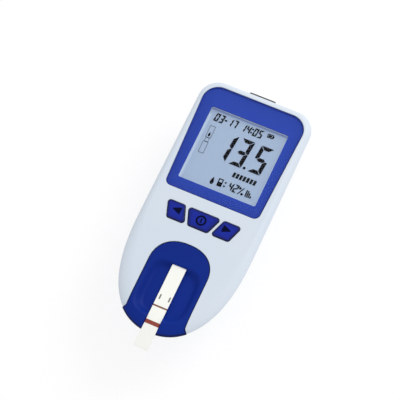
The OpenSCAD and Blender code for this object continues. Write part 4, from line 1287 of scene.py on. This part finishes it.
def chip_handle():
    """A flat key along Y: a thin tongue, a body that fills the slot and a taller grip with soft edges."""
    body, tongue, middle = np.array([chip_w, chip_t]), np.array([chip_w - 2, chip_t - 0.6]), (0, chip_z)
    inner_y, grip_y0 = tail_y - 3.1, tail_y + 0.25
    sections = [(chip_low[1], middle, tongue - 0.6, 0.3), (chip_low[1] + 0.35, middle, tongue, 0.3),
                (inner_y, middle, tongue, 0.3), (inner_y, middle, body, 0.5), (grip_y0, middle, body, 0.5)]
    ends = [(grip_y0 + grip_soft * (1 - math.cos(t)) + THIN, t) for t in GRIP_TURNS]
    ends += [(chip_high[1] - grip_soft * (1 - math.cos(t)), t) for t in GRIP_TURNS[::-1]]
    for y, t in ends:
        inset = grip_soft * (1 - math.sin(t))
        sections.append((y, (grip_x, grip_z), grip_size - 2 * inset, grip_corner_r - inset))
    rings = []
    for y, centre, size, radius in sections:
        outline = rectangle(centre, size, radius, 96)[::-1]
        rings.append(np.column_stack([outline[:, 0], np.full(len(outline), y), outline[:, 1]]))
    return shade(loft("chip_handle", rings))


settle(chip_handle(), "chip", "chip_plastic", replaces=["code_chip"])
chip_under_z = chip_z - chip_t / 2
pads = plates("chip_contacts", [rectangle((x, chip_low[1] + 2.6), (1.1, 3.6), 0.15, 24)
                                for x in np.linspace(-4, 4, 6)], chip_under_z + 0.26, chip_under_z + 0.34)
settle(shade(pads), "chip", "nickel_plate", "gold_plate")

# %% [markdown]
# ## Cells and springs
# A cell is a plated can in a printed sleeve that is rolled over at both ends. One lathe profile makes both,
# and two values on its points tell the finish where bare metal shows and how far along the cell a point lies.
# The springs are tubes along a helix: the path is x = r cos a, z = r sin a, with y rising evenly with a.

# %% Cells
cell_r = (cell_high[0] - cell_low[0]) / 2
cell_len = cell_high[1] - cell_low[1]
cell_z = (cell_low[2] + cell_high[2]) / 2
CELL_TURNS = 64
CELL_PROFILE = np.array([
    (0, 0, 1), (3.3, 0, 1), (3.8, 0.25, 1), (4.25, 0.25, 1), (4.27, 0.22, 0), (4.7, 0.1, 0), (5.05, 0.25, 0),
    (cell_r, 0.65, 0), (cell_r, 0.7, 0), (cell_r, 42.9, 0), (5.05, 43.35, 0), (4.7, 43.5, 0),
    (4.27, 43.42, 0), (4.25, 43.4, 1), (2.2, 43.4, 1), (1.95, 43.6, 1), (1.9, 44.25, 1), (1.7, cell_len, 1),
    (0, cell_len, 1)])
COPPER_FROM, LINE_FROM, LINE_TO = 31.0, 30.2, 30.9


def sleeve_print():
    """A printed sleeve, blue-grey with a copper end and a pale line, and plated metal where bare is 1."""
    shader, place = finish("cell_sleeve", colour(52, 60, 92), 0.3)
    bare = place.kept("bare").step(0.4, 0.6)
    along = place.kept("along")
    paint = along.step(COPPER_FROM, COPPER_FROM + 0.1).blend(colour(46, 54, 88), colour(190, 122, 74))
    paint = along.between(LINE_FROM, LINE_TO, 0.05).blend(paint, colour(226, 228, 230))
    scratch = place.noise(2500, 3, (4, 1, 4))
    drive(shader, Base_Color=bare.blend(paint, colour(204, 202, 196)), Metallic=bare,
          Roughness=0.24 + 0.12 * scratch, Normal=grain(scratch, 2))


def cell(name, x, nub_y, way):
    """The can's profile turned about its axis, with its nub at nub_y, laid along Y."""
    piece = lathe(name, CELL_PROFILE[:, :2], CELL_TURNS)
    keep_values(piece, "along", np.repeat(CELL_PROFILE[:, 1], CELL_TURNS))
    keep_values(piece, "bare", np.repeat(CELL_PROFILE[:, 2], CELL_TURNS))
    lay = [[1, 0, 0], [0, 0, way], [0, -way, 0]]
    return shade(moved(piece, lay, (x, nub_y - way * cell_len, cell_z)))


sleeve_print()
for name, x, way in (("left", -cell_pitch, 1), ("middle", 0, -1), ("right", cell_pitch, 1)):
    low, high = cad_box(f"battery_{name}")
    settle(cell(f"cell_{name}", x, high[1] if way > 0 else low[1], way), "case", "battery_sleeve",
           "cell_sleeve", replaces=[f"battery_{name}"])


# %% Springs
coil_r, coil_wire, coil_turns, coil_len = 2.6, 0.6, 3, 3.3
TURN_STEPS, WIRE_POINTS = 36, 10


def coil(name, x, start_y):
    """A tube along a helix. Each ring of it lies in the plane of the radius and of radius x tangent."""
    a = np.linspace(0, 2 * np.pi * coil_turns, TURN_STEPS * coil_turns + 1)[:, None]
    out = np.hstack([np.cos(a), 0 * a, np.sin(a)])
    start = (x, start_y + coil_wire / 2 + 0.05, cell_z)
    path = start + coil_r * out + a / a[-1] * (0, coil_len, 0)
    rise = coil_len / (2 * np.pi * coil_turns)
    along = np.hstack([-coil_r * np.sin(a), rise + 0 * a, coil_r * np.cos(a)])
    along /= np.linalg.norm(along, axis=1, keepdims=True)
    side = np.cross(along, out)
    turn = round_turn(WIRE_POINTS)[:, None]
    round_wire = np.cos(turn) * out[:, None] + np.sin(turn) * side[:, None]
    return loft(name, path[:, None] + coil_wire / 2 * round_wire)


spring_low, spring_high = cad_box("battery_springs")
low_y, high_y = spring_low[1] - 0.09, spring_high[1] + 0.09
springs = join(coil("contact_springs", -cell_pitch, low_y), coil("coil", cell_pitch, low_y),
               coil("coil", 0, high_y - 4.0))
settle(shade(springs, 50), "case", "nickel_plate", replaces=["battery_springs"])

# %% [markdown]
# ## Floor, lamps and camera
# A large pale floor and a plain world give even light; one broad lamp beyond the display end, to the right,
# shapes the edges. The levels are set so that a colour comes out about as it is written.

# %% Floor
FLOOR_HALF = 3000


def seen_rays(value):
    """1 for rays of the camera, of a mirror and through glass, and 0 for rays that only carry light."""
    camera_ray, glossy, through = [value.node("LightPath", output=name)
                                   for name in ("Is Camera Ray", "Is Glossy Ray", "Is Transmission Ray")]
    return camera_ray.math("MAXIMUM", glossy).math("MAXIMUM", through)


def floor():
    """A plain pale floor just under the feet."""
    plane = new_piece("floor", level(FLOOR_HALF * SQUARE, 0), [[0, 1, 2, 3]])
    pale, seen = colour(236, 237, 238), colour(134, 134, 135)
    shader, place = finish("floor", pale, 0.7, Specular_IOR_Level=0.1, Emission_Strength=0.77)
    rays = seen_rays(place)
    drive(shader, Base_Color=rays.blend(pale, seen), Emission_Color=rays.blend(BLACK, WHITE))
    plane.data.materials.append(FINISHES["floor"])


floor()


# %% World
def world():
    """Plain light from all round, and white where the camera or a mirror looks past the object."""
    made = bpy.data.worlds.new("studio")
    made.use_nodes = True
    scene.world = made
    back = made.node_tree.nodes["Background"]
    back.inputs["Strength"].default_value = 1.0
    drive(back, Color=seen_rays(Value(made.node_tree, None)).blend((0.775, 0.775, 0.78, 1), WHITE))


world()


# %% Lamp and camera
def put(name, data, place, turn):
    """An object that holds a lamp or a camera, at a place in metres and turned by Euler angles."""
    holder = bpy.data.objects.new(name, data)
    holder.location, holder.rotation_euler = place, turn
    scene.collection.objects.link(holder)
    return holder


LAMP_PLACE, LAMP_AIM = (0.5, 0.78, 0.85), (0, 0, 0.02)
lamp = bpy.data.lights.new("key", "AREA")
lamp.size, lamp.energy = 0.6, 5.5
put("key", lamp, LAMP_PLACE, Vector(np.subtract(LAMP_AIM, LAMP_PLACE)).to_track_quat("-Z", "Y").to_euler())

FOCAL_PIXELS, PICTURE_PIXELS = 2012.17, 400
camera = bpy.data.cameras.new("camera")
camera.sensor_width = 36.0
camera.lens = FOCAL_PIXELS / PICTURE_PIXELS * camera.sensor_width
scene.camera = put("camera", camera, (0.19161, -0.27796, 0.89661), np.radians([21.479, 3.8896, 24.813]))
scene.view_settings.view_transform = "Standard"
